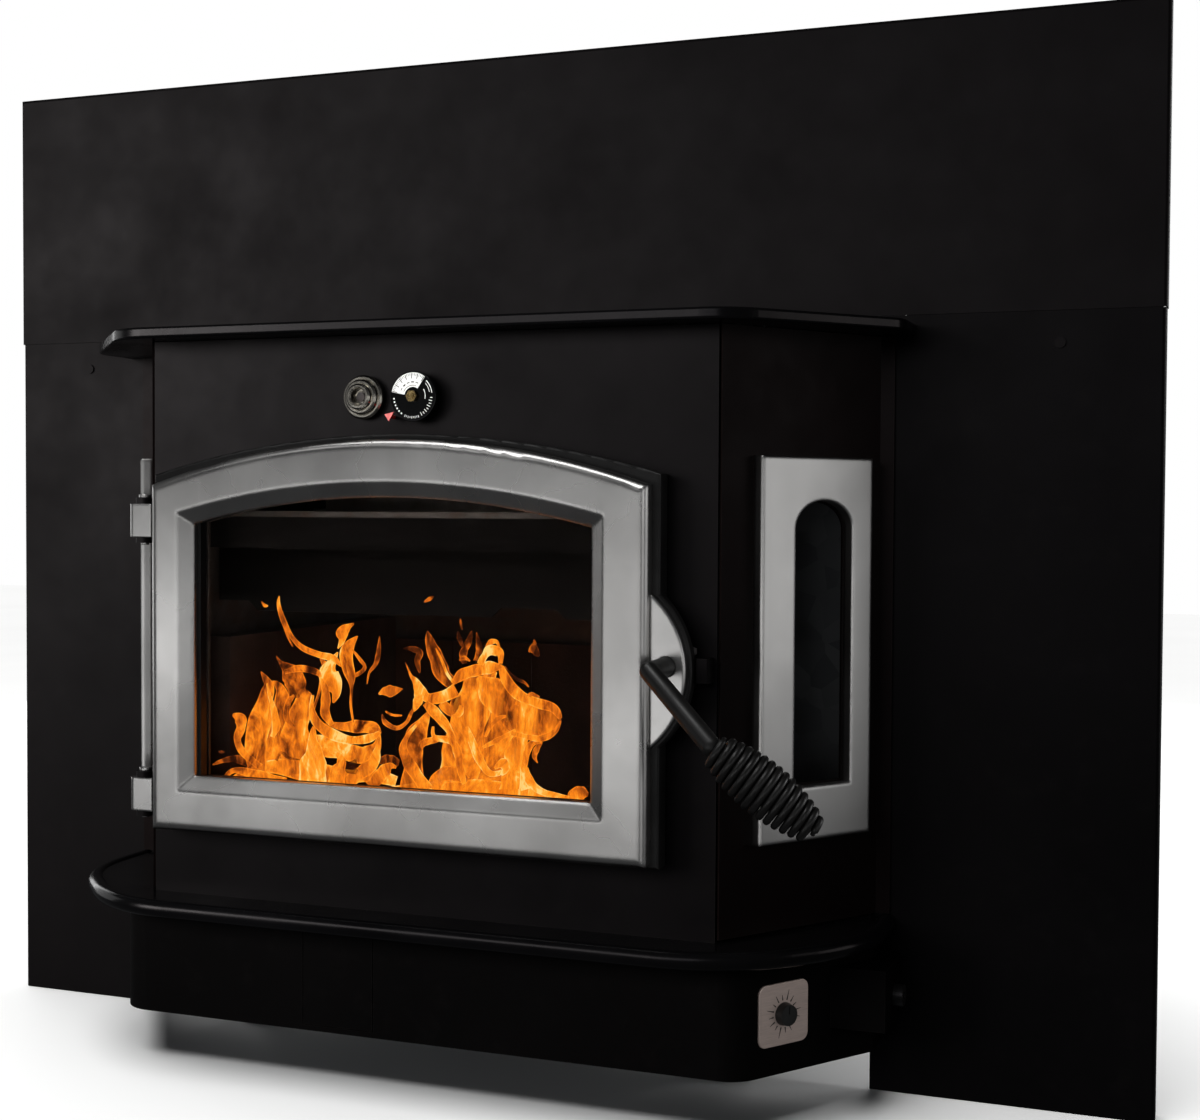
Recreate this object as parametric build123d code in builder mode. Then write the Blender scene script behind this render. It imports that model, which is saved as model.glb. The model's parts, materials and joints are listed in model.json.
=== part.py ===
from build123d import *
import math
import os

os.makedirs("parts", exist_ok=True)

# ---------------------------------------------------------------- driving dimensions (mm)
# Stove coordinates: X to the right, Y to the back, Z up. X = 0 is the stove's centre line, Y = 0 the
# front plane of the surround, Z = 0 the hearth. The finished pieces are shifted by (-ORIGIN_X, -ORIGIN_Y)
# so that the origin is the middle of the footprint at hearth level.
ORIGIN_X = 43.2
ORIGIN_Y = 34.93

SURROUND_X0, SURROUND_X1 = -642.6, 729.0   # 54 in wide
SURROUND_H = 1117.6                        # 44 in high
SEAM_Z = 812.8                             # 32 in side panels, 12 in top panel
SURROUND_T = 2.0
SURROUND_RETURN = 25.0
SURROUND_GAP_X = 441.0                     # inner edge of the side panels

BODY_A = 325.6                             # half width of the flat front
BODY_D = 178.0                             # front plane, ahead of the surround
SIDE_ANGLE = 55.3                          # how far the side faces turn away from the front, in degrees
BODY_Z0 = 185.5
BODY_Z1 = 790.5
CASING_Z0 = 188.3                          # the side sheets stand just clear of the ledge's rim
PLATE_T = 6.0
SHEET_T = 2.5

SHELF_Z0, SHELF_Z1 = 791.0, 803.0
LEDGE_Z = 178.5                            # centre height of the rounded rim
LEDGE_R = 9.5
LEDGE_TOP = 185.5

BASE_Z0, BASE_Z1 = 53.0, 168.8
BASE_A, BASE_D = 350.0, 188.0              # half width of the flat base front, and its distance ahead of the surround
BASE_W = 452.0

DOOR_XC = -18.0
HINGE_X, HINGE_Y = -320.0, -200.0
DOOR_BACK, DOOR_MID, DOOR_FRONT = 182.0, 204.0, 222.0
HANDLE_X, HANDLE_Z = 280.0, 458.0
HANDLE_R = 9.5

FIRE_W = 282.0                             # half width inside the firebox plates
FIRE_Y1 = 300.0
FIRE_Z0, FIRE_Z1 = 200.0, 756.0
FLUE_R, FLUE_Y = 101.6, 190.0              # 8 in flue
JACKET_W, JACKET_Y1, JACKET_Z1 = 330.0, 397.0, 786.0

DAMPER_X, DAMPER_Z = -62.0, 725.5
SHAFT_Y, SHAFT_Z, SHAFT_R = 90.0, 620.0, 6.0
DIAL_X, DIAL_Z, DIAL_R = 0.0, 725.0, 26.0

BLOWER_Y, BLOWER_Z = 250.0, 128.0
CTRL_S, CTRL_Z = 56.3, 113.0               # blower control on the slanted base face

PIECES = {}


def keep(name, builder):
    PIECES[name] = builder


def block(x0, x1, y0, y1, z0, z1, mode=Mode.ADD):
    with Locations(((x0 + x1) / 2, (y0 + y1) / 2, (z0 + z1) / 2)):
        Box(x1 - x0, y1 - y0, z1 - z0, mode=mode)


def rod(p, q, r, mode=Mode.ADD):
    # a round bar of radius r from point p to point q
    a, b = Vector(*p), Vector(*q)
    d = b - a
    with BuildSketch(Plane(origin=a, z_dir=d)) as section:
        Circle(r)
    extrude(section.sketch, amount=d.length, mode=mode)


def arch(xc, hw, z0, zc, za):
    # an outline with a straight foot and sides and a segmental arch on top
    with BuildLine() as outline:
        Polyline((xc - hw, zc), (xc - hw, z0), (xc + hw, z0), (xc + hw, zc))
        ThreePointArc((xc + hw, zc), (xc, za), (xc - hw, zc))
    make_face(outline.edges())


def arch_grown(xc, hw, z0, zc, za, d):
    # the same outline moved outwards by d all round
    rise = za - zc
    radius = (hw * hw + rise * rise) / (2 * rise)
    centre = za - radius
    hw2 = hw + d
    arch(xc, hw2, z0 - d, centre + math.sqrt((radius + d) ** 2 - hw2 ** 2), za + d)


def plan(points):
    with BuildLine() as outline:
        Polyline(*points, close=True)
    make_face(outline.edges())


SIDE_C, SIDE_S = math.cos(math.radians(SIDE_ANGLE)), math.sin(math.radians(SIDE_ANGLE))
SIDE_N = Vector(SIDE_S, -SIDE_C, 0)        # outward normal of the right side face


def angled_face(off=0.0, start=(BODY_A, -BODY_D)):
    # the right side face: local x runs back along the face from its front edge, local y is up
    return Plane(origin=Vector(*start, 0) + SIDE_N * off, x_dir=(SIDE_C, SIDE_S, 0), z_dir=tuple(SIDE_N))


def along(start, y):
    # where the line of a side face from this start reaches depth y
    return start[0] + (y - start[1]) * SIDE_C / SIDE_S


# ---------------------------------------------------------------- surround
with BuildPart() as surround_top_panel:
    block(SURROUND_X0, SURROUND_X1, 0, SURROUND_RETURN, SEAM_Z, SURROUND_H)
    front_edges = surround_top_panel.faces().sort_by(Axis.Y)[0].edges()
    fillet([e for e in front_edges if e.center().Z > SEAM_Z + 5], radius=4)
    block(SURROUND_X0 + SURROUND_T, SURROUND_X1 - SURROUND_T, SURROUND_T, SURROUND_RETURN + 1,
          SEAM_Z - 1, SURROUND_H - SURROUND_T, mode=Mode.SUBTRACT)
keep("surround_top_panel", surround_top_panel)

with BuildPart() as surround_left_panel:
    block(SURROUND_X0 + 2.5, -SURROUND_GAP_X, 0, SURROUND_RETURN, 0, SEAM_Z - 0.4)
    fillet(surround_left_panel.edges().filter_by(Axis.Z).filter_by(
        lambda e: e.center().X < SURROUND_X0 + 10 and e.center().Y < 1), radius=4)
    block(SURROUND_X0 + 2.5 + SURROUND_T, -SURROUND_GAP_X + 1, SURROUND_T, SURROUND_RETURN + 1,
          SURROUND_T, SEAM_Z + 1, mode=Mode.SUBTRACT)
    with BuildSketch(Plane.XZ.offset(1)):
        with Locations((SURROUND_X0 + 102.5, 780)):
            Circle(3.2)
    extrude(amount=-5, mode=Mode.SUBTRACT)
keep("surround_left_panel", surround_left_panel)

with BuildPart() as surround_right_panel:
    block(SURROUND_GAP_X, SURROUND_X1 - 1.0, 0, SURROUND_RETURN, 0, SEAM_Z - 0.4)
    fillet(surround_right_panel.edges().filter_by(Axis.Z).filter_by(
        lambda e: e.center().X > SURROUND_X1 - 10 and e.center().Y < 1), radius=4)
    block(SURROUND_GAP_X - 1, SURROUND_X1 - 1.0 - SURROUND_T, SURROUND_T, SURROUND_RETURN + 1,
          SURROUND_T, SEAM_Z + 1, mode=Mode.SUBTRACT)
    with BuildSketch(Plane.XZ.offset(1)):
        with Locations((SURROUND_X1 - 102.5, 780)):
            Circle(3.2)
    extrude(amount=-5, mode=Mode.SUBTRACT)
keep("surround_right_panel", surround_right_panel)

# straps that hold the top panel and the side panels in one plane, each with a strip that backs the seam
with BuildPart() as surround_joiners:
    for x0, x1 in ((SURROUND_X0 + 5.6, -471.5), (471.5, SURROUND_X1 - 4.1)):
        block(x0, x1, SURROUND_T, SURROUND_T + 3, SEAM_Z - 11, SEAM_Z + 11)
    for x in (SURROUND_X0 + 102.5, SURROUND_X1 - 102.5):
        block(x - 20, x + 20, SURROUND_T, SURROUND_T + 3, 740, 885)
        rod((x, 0.2, 780), (x, SURROUND_T, 780), 3.0)
        with Locations((x, -0.9, 780)):
            Cylinder(5.5, 1.6, rotation=(90, 0, 0))
keep("surround_joiners", surround_joiners)

# ---------------------------------------------------------------- cabinet front
with BuildPart() as front_plate:
    block(-322.5, 322.5, -BODY_D, -BODY_D + PLATE_T, BODY_Z0, BODY_Z1)
    with BuildSketch(Plane.XZ.offset(BODY_D + 1)):
        arch(DOOR_XC, 246, 304, 610, 644)
    extrude(amount=-(PLATE_T + 2), mode=Mode.SUBTRACT)
    rod((DAMPER_X, -BODY_D - 1, DAMPER_Z), (DAMPER_X, -BODY_D + PLATE_T + 1, DAMPER_Z), 4.82, mode=Mode.SUBTRACT)
    rod((DIAL_X, -BODY_D - 1, DIAL_Z), (DIAL_X, -BODY_D + PLATE_T + 1, DIAL_Z), 3.0, mode=Mode.SUBTRACT)
keep("front_plate", front_plate)

# a bent sheet: the slanted face with its arched warm-air outlet, and a flange that lies against the surround
with BuildPart() as casing_right:
    outer = (BODY_A + 0.7 * SIDE_C, -BODY_D + 0.7 * SIDE_S)
    inner = (outer[0] - SIDE_N.X * SHEET_T, outer[1] - SIDE_N.Y * SHEET_T)
    with BuildSketch(Plane.XY.offset(CASING_Z0)):
        plan([outer, (along(outer, -3.4), -3.4), (461, -3.4), (461, -0.9), (along(inner, -0.9), -0.9), inner])
    extrude(amount=BODY_Z1 - CASING_Z0)
    with BuildSketch(angled_face(3)):
        with BuildLine():
            Polyline((88, 590), (88, 334.5), (160.2, 334.5), (160.2, 590))
            EllipticalCenterArc((124.1, 590), 36.1, 28, start_angle=0, arc_size=180)
        make_face()
    extrude(amount=-8, mode=Mode.SUBTRACT)
keep("casing_right", casing_right)

with BuildPart() as casing_left:
    mirror(casing_right.part, about=Plane.YZ)
keep("casing_left", casing_left)

# the warm-air outlet trims: plated frames with an arched mouth
with BuildPart() as side_trim_right:
    with BuildSketch(angled_face(0.0)):
        with Locations((116.1, 470.8)):
            Rectangle(149, 386)
        with BuildLine():
            Polyline((85.8, 591), (85.8, 332), (162.4, 332), (162.4, 591))
            EllipticalCenterArc((124.1, 591), 38.3, 29, start_angle=0, arc_size=180)
        make_face(mode=Mode.SUBTRACT)
    extrude(amount=13)
    outward = Axis(origin=(0, 0, 0), direction=tuple(SIDE_N))
    fillet(side_trim_right.faces().sort_by(outward)[-1].outer_wire().edges(), radius=2.5)
    fillet(side_trim_right.faces().sort_by(outward)[-1].inner_wires()[0].edges(), radius=1.2)
keep("side_trim_right", side_trim_right)

with BuildPart() as side_trim_left:
    mirror(side_trim_right.part, about=Plane.YZ)
keep("side_trim_left", side_trim_left)

with BuildPart() as top_shelf:
    with BuildSketch(Plane.XY.offset(SHELF_Z0)) as shelf_plan:
        plan([(-482, -0.4), (-482, -62), (-345, -218), (345, -218), (482, -62), (482, -0.4)])
        fillet(shelf_plan.vertices().group_by(Axis.Y)[0], radius=70)
        fillet([v for v in shelf_plan.vertices() if abs(v.Y + 62) < 1], radius=35)
    extrude(amount=SHELF_Z1 - SHELF_Z0)
    fillet([e for e in top_shelf.faces().sort_by(Axis.Z)[-1].edges() if e.center().Y < -1], radius=3)
    fillet([e for e in top_shelf.faces().sort_by(Axis.Z)[0].edges() if e.center().Y < -1], radius=3)
keep("top_shelf", top_shelf)

ledge_line = [(-458, -0.4), (-458, -112), (-346, -228), (346, -228), (458, -112), (458, -0.4)]
with BuildPart() as hearth_ledge:
    with BuildSketch(Plane.XY.offset(LEDGE_Z - LEDGE_R)) as ledge_plan:
        plan(ledge_line)
        fillet(ledge_plan.vertices().group_by(Axis.Y)[0], radius=165)
        fillet([v for v in ledge_plan.vertices() if abs(v.Y + 112) < 1], radius=150)
    extrude(amount=LEDGE_TOP - (LEDGE_Z - LEDGE_R))
    with BuildLine(Plane.XY.offset(LEDGE_Z)) as rim_path:
        pl = Polyline(*ledge_line)
        fillet([v for v in rim_path.vertices() if abs(v.Y + 228) < 1], radius=165)
        fillet([v for v in rim_path.vertices() if abs(v.Y + 112) < 1], radius=150)
    with BuildSketch(Plane(origin=(-458, -0.4, LEDGE_Z), z_dir=(0, -1, 0))):
        Circle(LEDGE_R)
    sweep(path=rim_path.wires()[0])
    block(-292, 292, -BODY_D + PLATE_T - 1, 2, 150, 200, mode=Mode.SUBTRACT)
keep("hearth_ledge", hearth_ledge)

# ---------------------------------------------------------------- warm-air jacket behind the surround
with BuildPart() as jacket_wrap:
    block(-JACKET_W, JACKET_W, SURROUND_T + 0.6, JACKET_Y1, BASE_Z0 + 3.0, JACKET_Z1 - 2)
    fillet(jacket_wrap.edges().filter_by(Axis.Z).group_by(Axis.Y)[-1], radius=40)
    inner = Plane.XY.offset(BASE_Z0 + 2)
    with BuildSketch(inner):
        with Locations((0, (JACKET_Y1 - 2) / 2)):
            RectangleRounded(2 * JACKET_W - 4, JACKET_Y1 - 2 + 0.0, 38)
        with Locations((0, 60)):
            Rectangle(2 * JACKET_W - 4, 120)
    extrude(amount=JACKET_Z1, mode=Mode.SUBTRACT)
    for s in (-1, 1):
        block(min(s * JACKET_W, s * 470), max(s * JACKET_W, s * 470), SURROUND_T + 0.6, SURROUND_T + 2.6,
              BASE_Z0 + 3.0, JACKET_Z1 - 2)
        block(min(s * (JACKET_W + 1), s * 470), max(s * (JACKET_W + 1), s * 470), SURROUND_T + 0.6,
              SURROUND_T + 2.6, JACKET_Z1 - 2, 850)
    # the header strip closes the slot between the shelf and the top panel
    block(-470, 470, SURROUND_T + 0.6, SURROUND_T + 2.6, JACKET_Z1 + 0.4, 850)
keep("jacket_wrap", jacket_wrap)

with BuildPart() as jacket_top:
    block(-JACKET_W, JACKET_W, -BODY_D + PLATE_T + 0.5, JACKET_Y1, JACKET_Z1 - 2, JACKET_Z1)
    fillet(jacket_top.edges().filter_by(Axis.Z).group_by(Axis.Y)[-1], radius=40)
    with Locations((0, FLUE_Y, JACKET_Z1 - 1)):
        Cylinder(112, 10, mode=Mode.SUBTRACT)
    for s in (-1, 1):
        block(min(s * 320, s * 340), max(s * 320, s * 340), -BODY_D, -150, JACKET_Z1 - 5, JACKET_Z1 + 5,
              mode=Mode.SUBTRACT)
keep("jacket_top", jacket_top)

# ---------------------------------------------------------------- firebox
for side, name in ((-1, "left"), (1, "right")):
    with BuildPart() as wall:
        x0, x1 = sorted((side * FIRE_W, side * (FIRE_W + PLATE_T)))
        block(x0, x1, -BODY_D + PLATE_T, FIRE_Y1, BASE_Z0 + 3.0, FIRE_Z1)
        block(x0 - 1, x1 + 1, -130, FIRE_Y1 - 40, BASE_Z0 + 33.0, 180, mode=Mode.SUBTRACT)
    keep("firebox_wall_" + name, wall)

with BuildPart() as firebox_wall_back:
    block(-FIRE_W, FIRE_W, FIRE_Y1 - PLATE_T, FIRE_Y1, FIRE_Z0, FIRE_Z1)
keep("firebox_wall_back", firebox_wall_back)

with BuildPart() as firebox_floor:
    block(-FIRE_W, FIRE_W, -BODY_D + PLATE_T, FIRE_Y1 - PLATE_T, FIRE_Z0, FIRE_Z0 + PLATE_T)
keep("firebox_floor", firebox_floor)

with BuildPart() as firebox_roof:
    block(-FIRE_W, FIRE_W, -BODY_D + PLATE_T, FIRE_Y1 - PLATE_T, FIRE_Z1 - PLATE_T, FIRE_Z1)
    with Locations((0, FLUE_Y, FIRE_Z1)):
        Cylinder(FLUE_R, 40, mode=Mode.SUBTRACT)
keep("firebox_roof", firebox_roof)

with BuildPart() as flue_collar:
    with Locations((0, FLUE_Y, (FIRE_Z1 + 862) / 2)):
        Cylinder(FLUE_R + 4, 862 - FIRE_Z1)
    with Locations((0, FLUE_Y, FIRE_Z1 + 3)):
        Cylinder(FLUE_R + 8.4, 6)
    with Locations((0, FLUE_Y, 800)):
        Cylinder(FLUE_R, 300, mode=Mode.SUBTRACT)
    for a in (30, 150, 270):
        with BuildSketch(Plane(origin=(0, FLUE_Y, 842), z_dir=(math.cos(math.radians(a)), math.sin(math.radians(a)), 0))):
            Circle(2.5)
        extrude(amount=130, mode=Mode.SUBTRACT)
keep("flue_collar", flue_collar)

BRICK = 30.0
brick_z = FIRE_Z0 + PLATE_T
with BuildPart() as brick_floor:
    w = (2 * FIRE_W - 4) / 5
    for i in range(5):
        x0 = -FIRE_W + 2 + i * w
        for y0, y1 in ((-160, -18), (-16, 126), (128, 262)):
            block(x0 + 0.6, x0 + w - 0.6, y0, y1, brick_z, brick_z + BRICK)
keep("brick_floor", brick_floor)

for side, name in ((-1, "left"), (1, "right")):
    with BuildPart() as bricks:
        x0, x1 = sorted((side * (FIRE_W - 0.5), side * (FIRE_W - 0.5 - BRICK)))
        for i in range(4):
            y0 = -140 + i * 101
            block(x0, x1, y0 + 0.6, y0 + 100.4, brick_z + BRICK + 0.5, brick_z + BRICK + 230)
    keep("brick_" + name, bricks)

with BuildPart() as brick_back:
    for i in range(5):
        x0 = -FIRE_W + 2 + i * w
        block(x0 + 0.6, x0 + w - 0.6, FIRE_Y1 - PLATE_T - BRICK - 0.5, FIRE_Y1 - PLATE_T - 0.5,
              brick_z + 0.5, brick_z + 230)
keep("brick_back", brick_back)

with BuildPart() as smoke_shelf:
    block(-FIRE_W, FIRE_W, -BODY_D + PLATE_T, FIRE_Y1 - PLATE_T, 600, 606)
    block(-150, 150, -85, 5, 595, 610, mode=Mode.SUBTRACT)
    block(-80, 80, 105, 205, 595, 610, mode=Mode.SUBTRACT)
    for x in (-101, 101):
        block(x - 4, x + 4, 78, 102, 606, 634)
    with BuildSketch(Plane.YZ.offset(-120)):
        with Locations((SHAFT_Y, SHAFT_Z)):
            Circle(SHAFT_R + 0.06)
    extrude(amount=240, mode=Mode.SUBTRACT)
keep("smoke_shelf", smoke_shelf)

with BuildPart() as combustor_can:
    block(-168, 168, -101, 21, 606, 609)
    block(-158, 158, -91, 11, 606, 664)
    block(-155, 155, -88, 8, 600, 670, mode=Mode.SUBTRACT)
    block(-150, 150, -85, 5, 600, 612, mode=Mode.SUBTRACT)
    block(-155, 155, -88, 8, 612, 670, mode=Mode.SUBTRACT)
    block(-155, 155, -88, -82, 606, 609)
    block(-155, 155, 2, 8, 606, 609)
keep("combustor_can", combustor_can)

# a ceramic honeycomb of square cells
with BuildPart() as combustor_block:
    block(-154.5, 154.5, -87.5, 7.5, 609.2, 660)
    with BuildSketch(Plane.XY.offset(600)):
        with Locations((0, -40)):
            with GridLocations(12.2, 12.2, 24, 7):
                Rectangle(10.0, 10.0)
    extrude(amount=80, mode=Mode.SUBTRACT)
keep("combustor_block", combustor_block)

# the flame shield hung under the front of the smoke shelf: its lower edge steps up at both ends
with BuildPart() as flame_shield:
    with BuildSketch(Plane.XZ.offset(118)):
        with BuildLine():
            Polyline((-276, 599.8), (-276, 506), (-238, 506), (-226, 495), (58, 495), (68, 505),
                     (132, 505), (142, 495), (276, 495), (276, 599.8), close=True)
        make_face()
    extrude(amount=4)
    block(-276, 276, -122, -96, 596.8, 599.8)
keep("flame_shield", flame_shield)

# the channel over the door mouth that washes the glass with preheated air
with BuildPart() as airwash_channel:
    block(-FIRE_W + 6, FIRE_W - 6, -BODY_D + PLATE_T + 0.3, -143, 566, 599.8)
    block(-FIRE_W + 8, FIRE_W - 8, -BODY_D + PLATE_T + 2, -145, 568, 601, mode=Mode.SUBTRACT)
    with BuildSketch(Plane.XY.offset(560)):
        with Locations((DOOR_XC, -BODY_D + PLATE_T + 7)):
            with GridLocations(24, 1, 18, 1):
                Rectangle(16, 4)
    extrude(amount=12, mode=Mode.SUBTRACT)
keep("airwash_channel", airwash_channel)

# ---------------------------------------------------------------- bypass damper
with BuildPart() as damper_plate:
    block(-92, 92, SHAFT_Y - 1, 217, 606.5, 612.5)
    rod((-92, SHAFT_Y, SHAFT_Z), (92, SHAFT_Y, SHAFT_Z), 10)
    block(DAMPER_X - 4, DAMPER_X + 4, SHAFT_Y - 3, SHAFT_Y + 3, SHAFT_Z + 4, 740)
    block(-60, 60, 150, 156, 612.5, 618)
    rod((-93, SHAFT_Y, SHAFT_Z), (93, SHAFT_Y, SHAFT_Z), SHAFT_R, mode=Mode.SUBTRACT)
keep("damper_plate", damper_plate)

with BuildPart() as damper_shaft:
    rod((-112, SHAFT_Y, SHAFT_Z), (112, SHAFT_Y, SHAFT_Z), SHAFT_R)
    for x in (-110, 110):
        rod((x - 1.5, SHAFT_Y, SHAFT_Z), (x + 1.5, SHAFT_Y, SHAFT_Z), 8)
keep("damper_shaft", damper_shaft)

with BuildPart() as damper_pull_rod:
    rod((DAMPER_X, -BODY_D - 12, DAMPER_Z), (DAMPER_X, SHAFT_Y - 16, DAMPER_Z), 4.76)
    block(DAMPER_X - 10, DAMPER_X + 10, SHAFT_Y - 18, SHAFT_Y + 18, DAMPER_Z - 8, DAMPER_Z + 8)
    block(DAMPER_X - 4.6, DAMPER_X + 4.6, SHAFT_Y - 7, SHAFT_Y + 7, DAMPER_Z - 9, DAMPER_Z + 9, mode=Mode.SUBTRACT)
keep("damper_pull_rod", damper_pull_rod)

# a turned knob: three stepped rings round a hollow centre
with BuildPart() as damper_knob:
    with BuildSketch(Plane(origin=(DAMPER_X, 0, DAMPER_Z), x_dir=(1, 0, 0), z_dir=(0, 0, 1))):
        with BuildLine():
            Polyline((0, -BODY_D - 1), (20.5, -BODY_D - 1), (22.9, -BODY_D - 3), (22.9, -BODY_D - 7),
                     (21.0, -BODY_D - 9), (19.2, -BODY_D - 9), (18.2, -BODY_D - 12), (16.4, -BODY_D - 14),
                     (14.6, -BODY_D - 14), (13.6, -BODY_D - 17), (11.8, -BODY_D - 19), (9.8, -BODY_D - 19),
                     (8.6, -BODY_D - 17.5), (7.6, -BODY_D - 9), (0, -BODY_D - 9), close=True)
        make_face()
    revolve(axis=Axis(origin=(DAMPER_X, 0, DAMPER_Z), direction=(0, 1, 0)))
    rod((DAMPER_X, -BODY_D - 8.5, DAMPER_Z), (DAMPER_X, -BODY_D, DAMPER_Z), 4.76, mode=Mode.SUBTRACT)
    rod((DAMPER_X, -BODY_D - 13, DAMPER_Z), (DAMPER_X, -BODY_D, DAMPER_Z), 4.76, mode=Mode.SUBTRACT)
keep("damper_knob", damper_knob)

# ---------------------------------------------------------------- flue thermometer
with BuildPart() as thermo_dial:
    rod((DIAL_X, -BODY_D - 10.8, DIAL_Z), (DIAL_X, -BODY_D - 15, DIAL_Z), DIAL_R)
    fillet(thermo_dial.edges().filter_by(GeomType.CIRCLE).group_by(Axis.Y)[0], radius=1.2)
    rod((DIAL_X, -BODY_D - 10, DIAL_Z), (DIAL_X, -BODY_D - 16, DIAL_Z), 3.05, mode=Mode.SUBTRACT)
keep("thermo_dial", thermo_dial)

# the white band of the scale, a thin inlay from about half past nine to one o'clock
with BuildPart() as thermo_scale:
    with BuildSketch(Plane.XZ.offset(BODY_D + 15)):
        with BuildLine():
            a0, a1 = math.radians(169), math.radians(55)
            am = (a0 + a1) / 2
            p = lambda r, a: (DIAL_X + r * math.cos(a), DIAL_Z + r * math.sin(a))
            ThreePointArc(p(24.3, a0), p(24.3, am), p(24.3, a1))
            Line(p(24.3, a1), p(9.5, a1))
            ThreePointArc(p(9.5, a1), p(9.5, am), p(9.5, a0))
            Line(p(9.5, a0), p(24.3, a0))
        make_face()
    extrude(amount=0.4)
keep("thermo_scale", thermo_scale)

with BuildPart() as thermo_stem:
    rod((DIAL_X, -BODY_D - 21, DIAL_Z), (DIAL_X, -75, DIAL_Z), 3.0)
    with BuildSketch(Plane.XZ.offset(BODY_D + 15.8)):
        with Locations((DIAL_X, DIAL_Z)):
            RegularPolygon(6.2, 6)
    extrude(amount=3.6)
    rod((DIAL_X, -BODY_D - 10.4, DIAL_Z), (DIAL_X, -BODY_D, DIAL_Z), 9.0)
keep("thermo_stem", thermo_stem)

with BuildPart() as thermo_pointer:
    u = Vector(-0.816, 0, -0.578)
    v = Vector(0.578, 0, -0.816)
    c = Vector(DIAL_X, 0, DIAL_Z)
    q = lambda r, t: ((c + u * r + v * t).X, (c + u * r + v * t).Z)
    with BuildSketch(Plane.XZ.offset(BODY_D + 12)):
        with BuildLine():
            Polyline(q(27.2, 0), q(37.5, 4.3), q(37.5, -4.3), close=True)
        make_face()
    extrude(amount=2)
    with BuildSketch(Plane.XZ.offset(BODY_D)):
        with Locations(q(35.4, 0)):
            Circle(1.8)
    extrude(amount=12)
keep("thermo_pointer", thermo_pointer)

# ---------------------------------------------------------------- door
with BuildPart() as door_plate:
    with BuildSketch(Plane.XZ.offset(DOOR_BACK)):
        arch(-16.5, 288.5, 259, 645, 686)
    extrude(amount=DOOR_MID - DOOR_BACK)
    with BuildSketch(Plane.XZ.offset(DOOR_MID - 12)) as backing:
        with Locations((203, 453)):
            Circle(102)
        with Locations((160, 453)):
            Rectangle(220, 300, mode=Mode.SUBTRACT)
    extrude(amount=12)
    fillet([e for e in door_plate.faces().sort_by(Axis.Y)[0].outer_wire().edges()], radius=2.5)
    with BuildSketch(Plane.XZ.offset(DOOR_BACK - 1)):
        arch(DOOR_XC, 229, 319.5, 594, 623)
    extrude(amount=DOOR_MID, mode=Mode.SUBTRACT)
    with BuildSketch(Plane.XZ.offset(DOOR_BACK - 1)):
        arch(DOOR_XC, 241, 307.5, 604, 635)
    extrude(amount=12, mode=Mode.SUBTRACT)
    rod((HANDLE_X, -150, HANDLE_Z), (HANDLE_X, -250, HANDLE_Z), HANDLE_R + 0.06, mode=Mode.SUBTRACT)
keep("door_plate", door_plate)

with BuildPart() as door_trim:
    with BuildSketch(Plane.XZ.offset(DOOR_MID)):
        arch(DOOR_XC, 282, 261.5, 634, 680.5)
    extrude(amount=DOOR_FRONT - DOOR_MID)
    with BuildSketch(Plane.XZ.offset(DOOR_MID - 1)):
        arch(DOOR_XC - 5, 227, 321.5, 592, 621)
    extrude(amount=30, mode=Mode.SUBTRACT)
    with BuildSketch(Plane.XZ.offset(DOOR_FRONT + 0.01)) as mouth_front:
        arch_grown(DOOR_XC - 5, 227, 321.5, 592, 621, 16)
    with BuildSketch(Plane.XZ.offset(DOOR_FRONT - 10)) as mouth_back:
        arch(DOOR_XC - 5, 227, 321.5, 592, 621)
    loft(sections=[mouth_front.sketch, mouth_back.sketch], ruled=True, mode=Mode.SUBTRACT)
    face = door_trim.faces().sort_by(Axis.Y)[0]
    fillet(face.outer_wire().edges(), radius=9)
keep("door_trim", door_trim)

with BuildPart() as door_glass:
    with BuildSketch(Plane.XZ.offset(DOOR_BACK + 5.9)):
        arch(DOOR_XC, 240, 308.5, 603, 634)
    extrude(amount=5)
keep("door_glass", door_glass)

with BuildPart() as glass_retainer:
    with BuildSketch(Plane.XZ.offset(DOOR_BACK + 2.8)):
        arch(DOOR_XC, 240, 308.5, 603, 634)
    extrude(amount=3)
    with BuildSketch(Plane.XZ.offset(DOOR_BACK)):
        arch(DOOR_XC, 229, 319.5, 594, 623)
    extrude(amount=10, mode=Mode.SUBTRACT)
keep("glass_retainer", glass_retainer)

with BuildPart() as door_gasket:
    with BuildSketch(Plane.XZ.offset(DOOR_BACK)):
        arch(DOOR_XC, 262, 288, 628, 662)
    extrude(amount=-3.6)
    with BuildSketch(Plane.XZ.offset(DOOR_BACK + 1)):
        arch(DOOR_XC, 250, 300, 614, 648)
    extrude(amount=-8, mode=Mode.SUBTRACT)
keep("door_gasket", door_gasket)

with BuildPart() as latch_ear:
    with BuildSketch(Plane.XZ.offset(DOOR_MID)):
        with Locations((203, 453)):
            Circle(97)
        with Locations((154.3, 453)):
            Rectangle(220, 300, mode=Mode.SUBTRACT)
    extrude(amount=6)
    fillet(latch_ear.faces().sort_by(Axis.Y)[0].edges().filter_by(GeomType.CIRCLE), radius=2)
    rod((HANDLE_X, -150, HANDLE_Z), (HANDLE_X, -250, HANDLE_Z), HANDLE_R + 0.06, mode=Mode.SUBTRACT)
keep("latch_ear", latch_ear)

HINGE_Z = (577.0, 279.0)
with BuildPart() as hinge_lugs:
    for z in HINGE_Z:
        block(-334, -305, HINGE_Y - 11, HINGE_Y + 11, z, z + 36)
    fillet(hinge_lugs.edges().filter_by(Axis.Z).filter_by(lambda e: e.center().X < -330), radius=6)
    for z in HINGE_Z:
        rod((HINGE_X, HINGE_Y, z - 1), (HINGE_X, HINGE_Y, z + 37), 4.06, mode=Mode.SUBTRACT)
keep("hinge_lugs", hinge_lugs)

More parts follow.
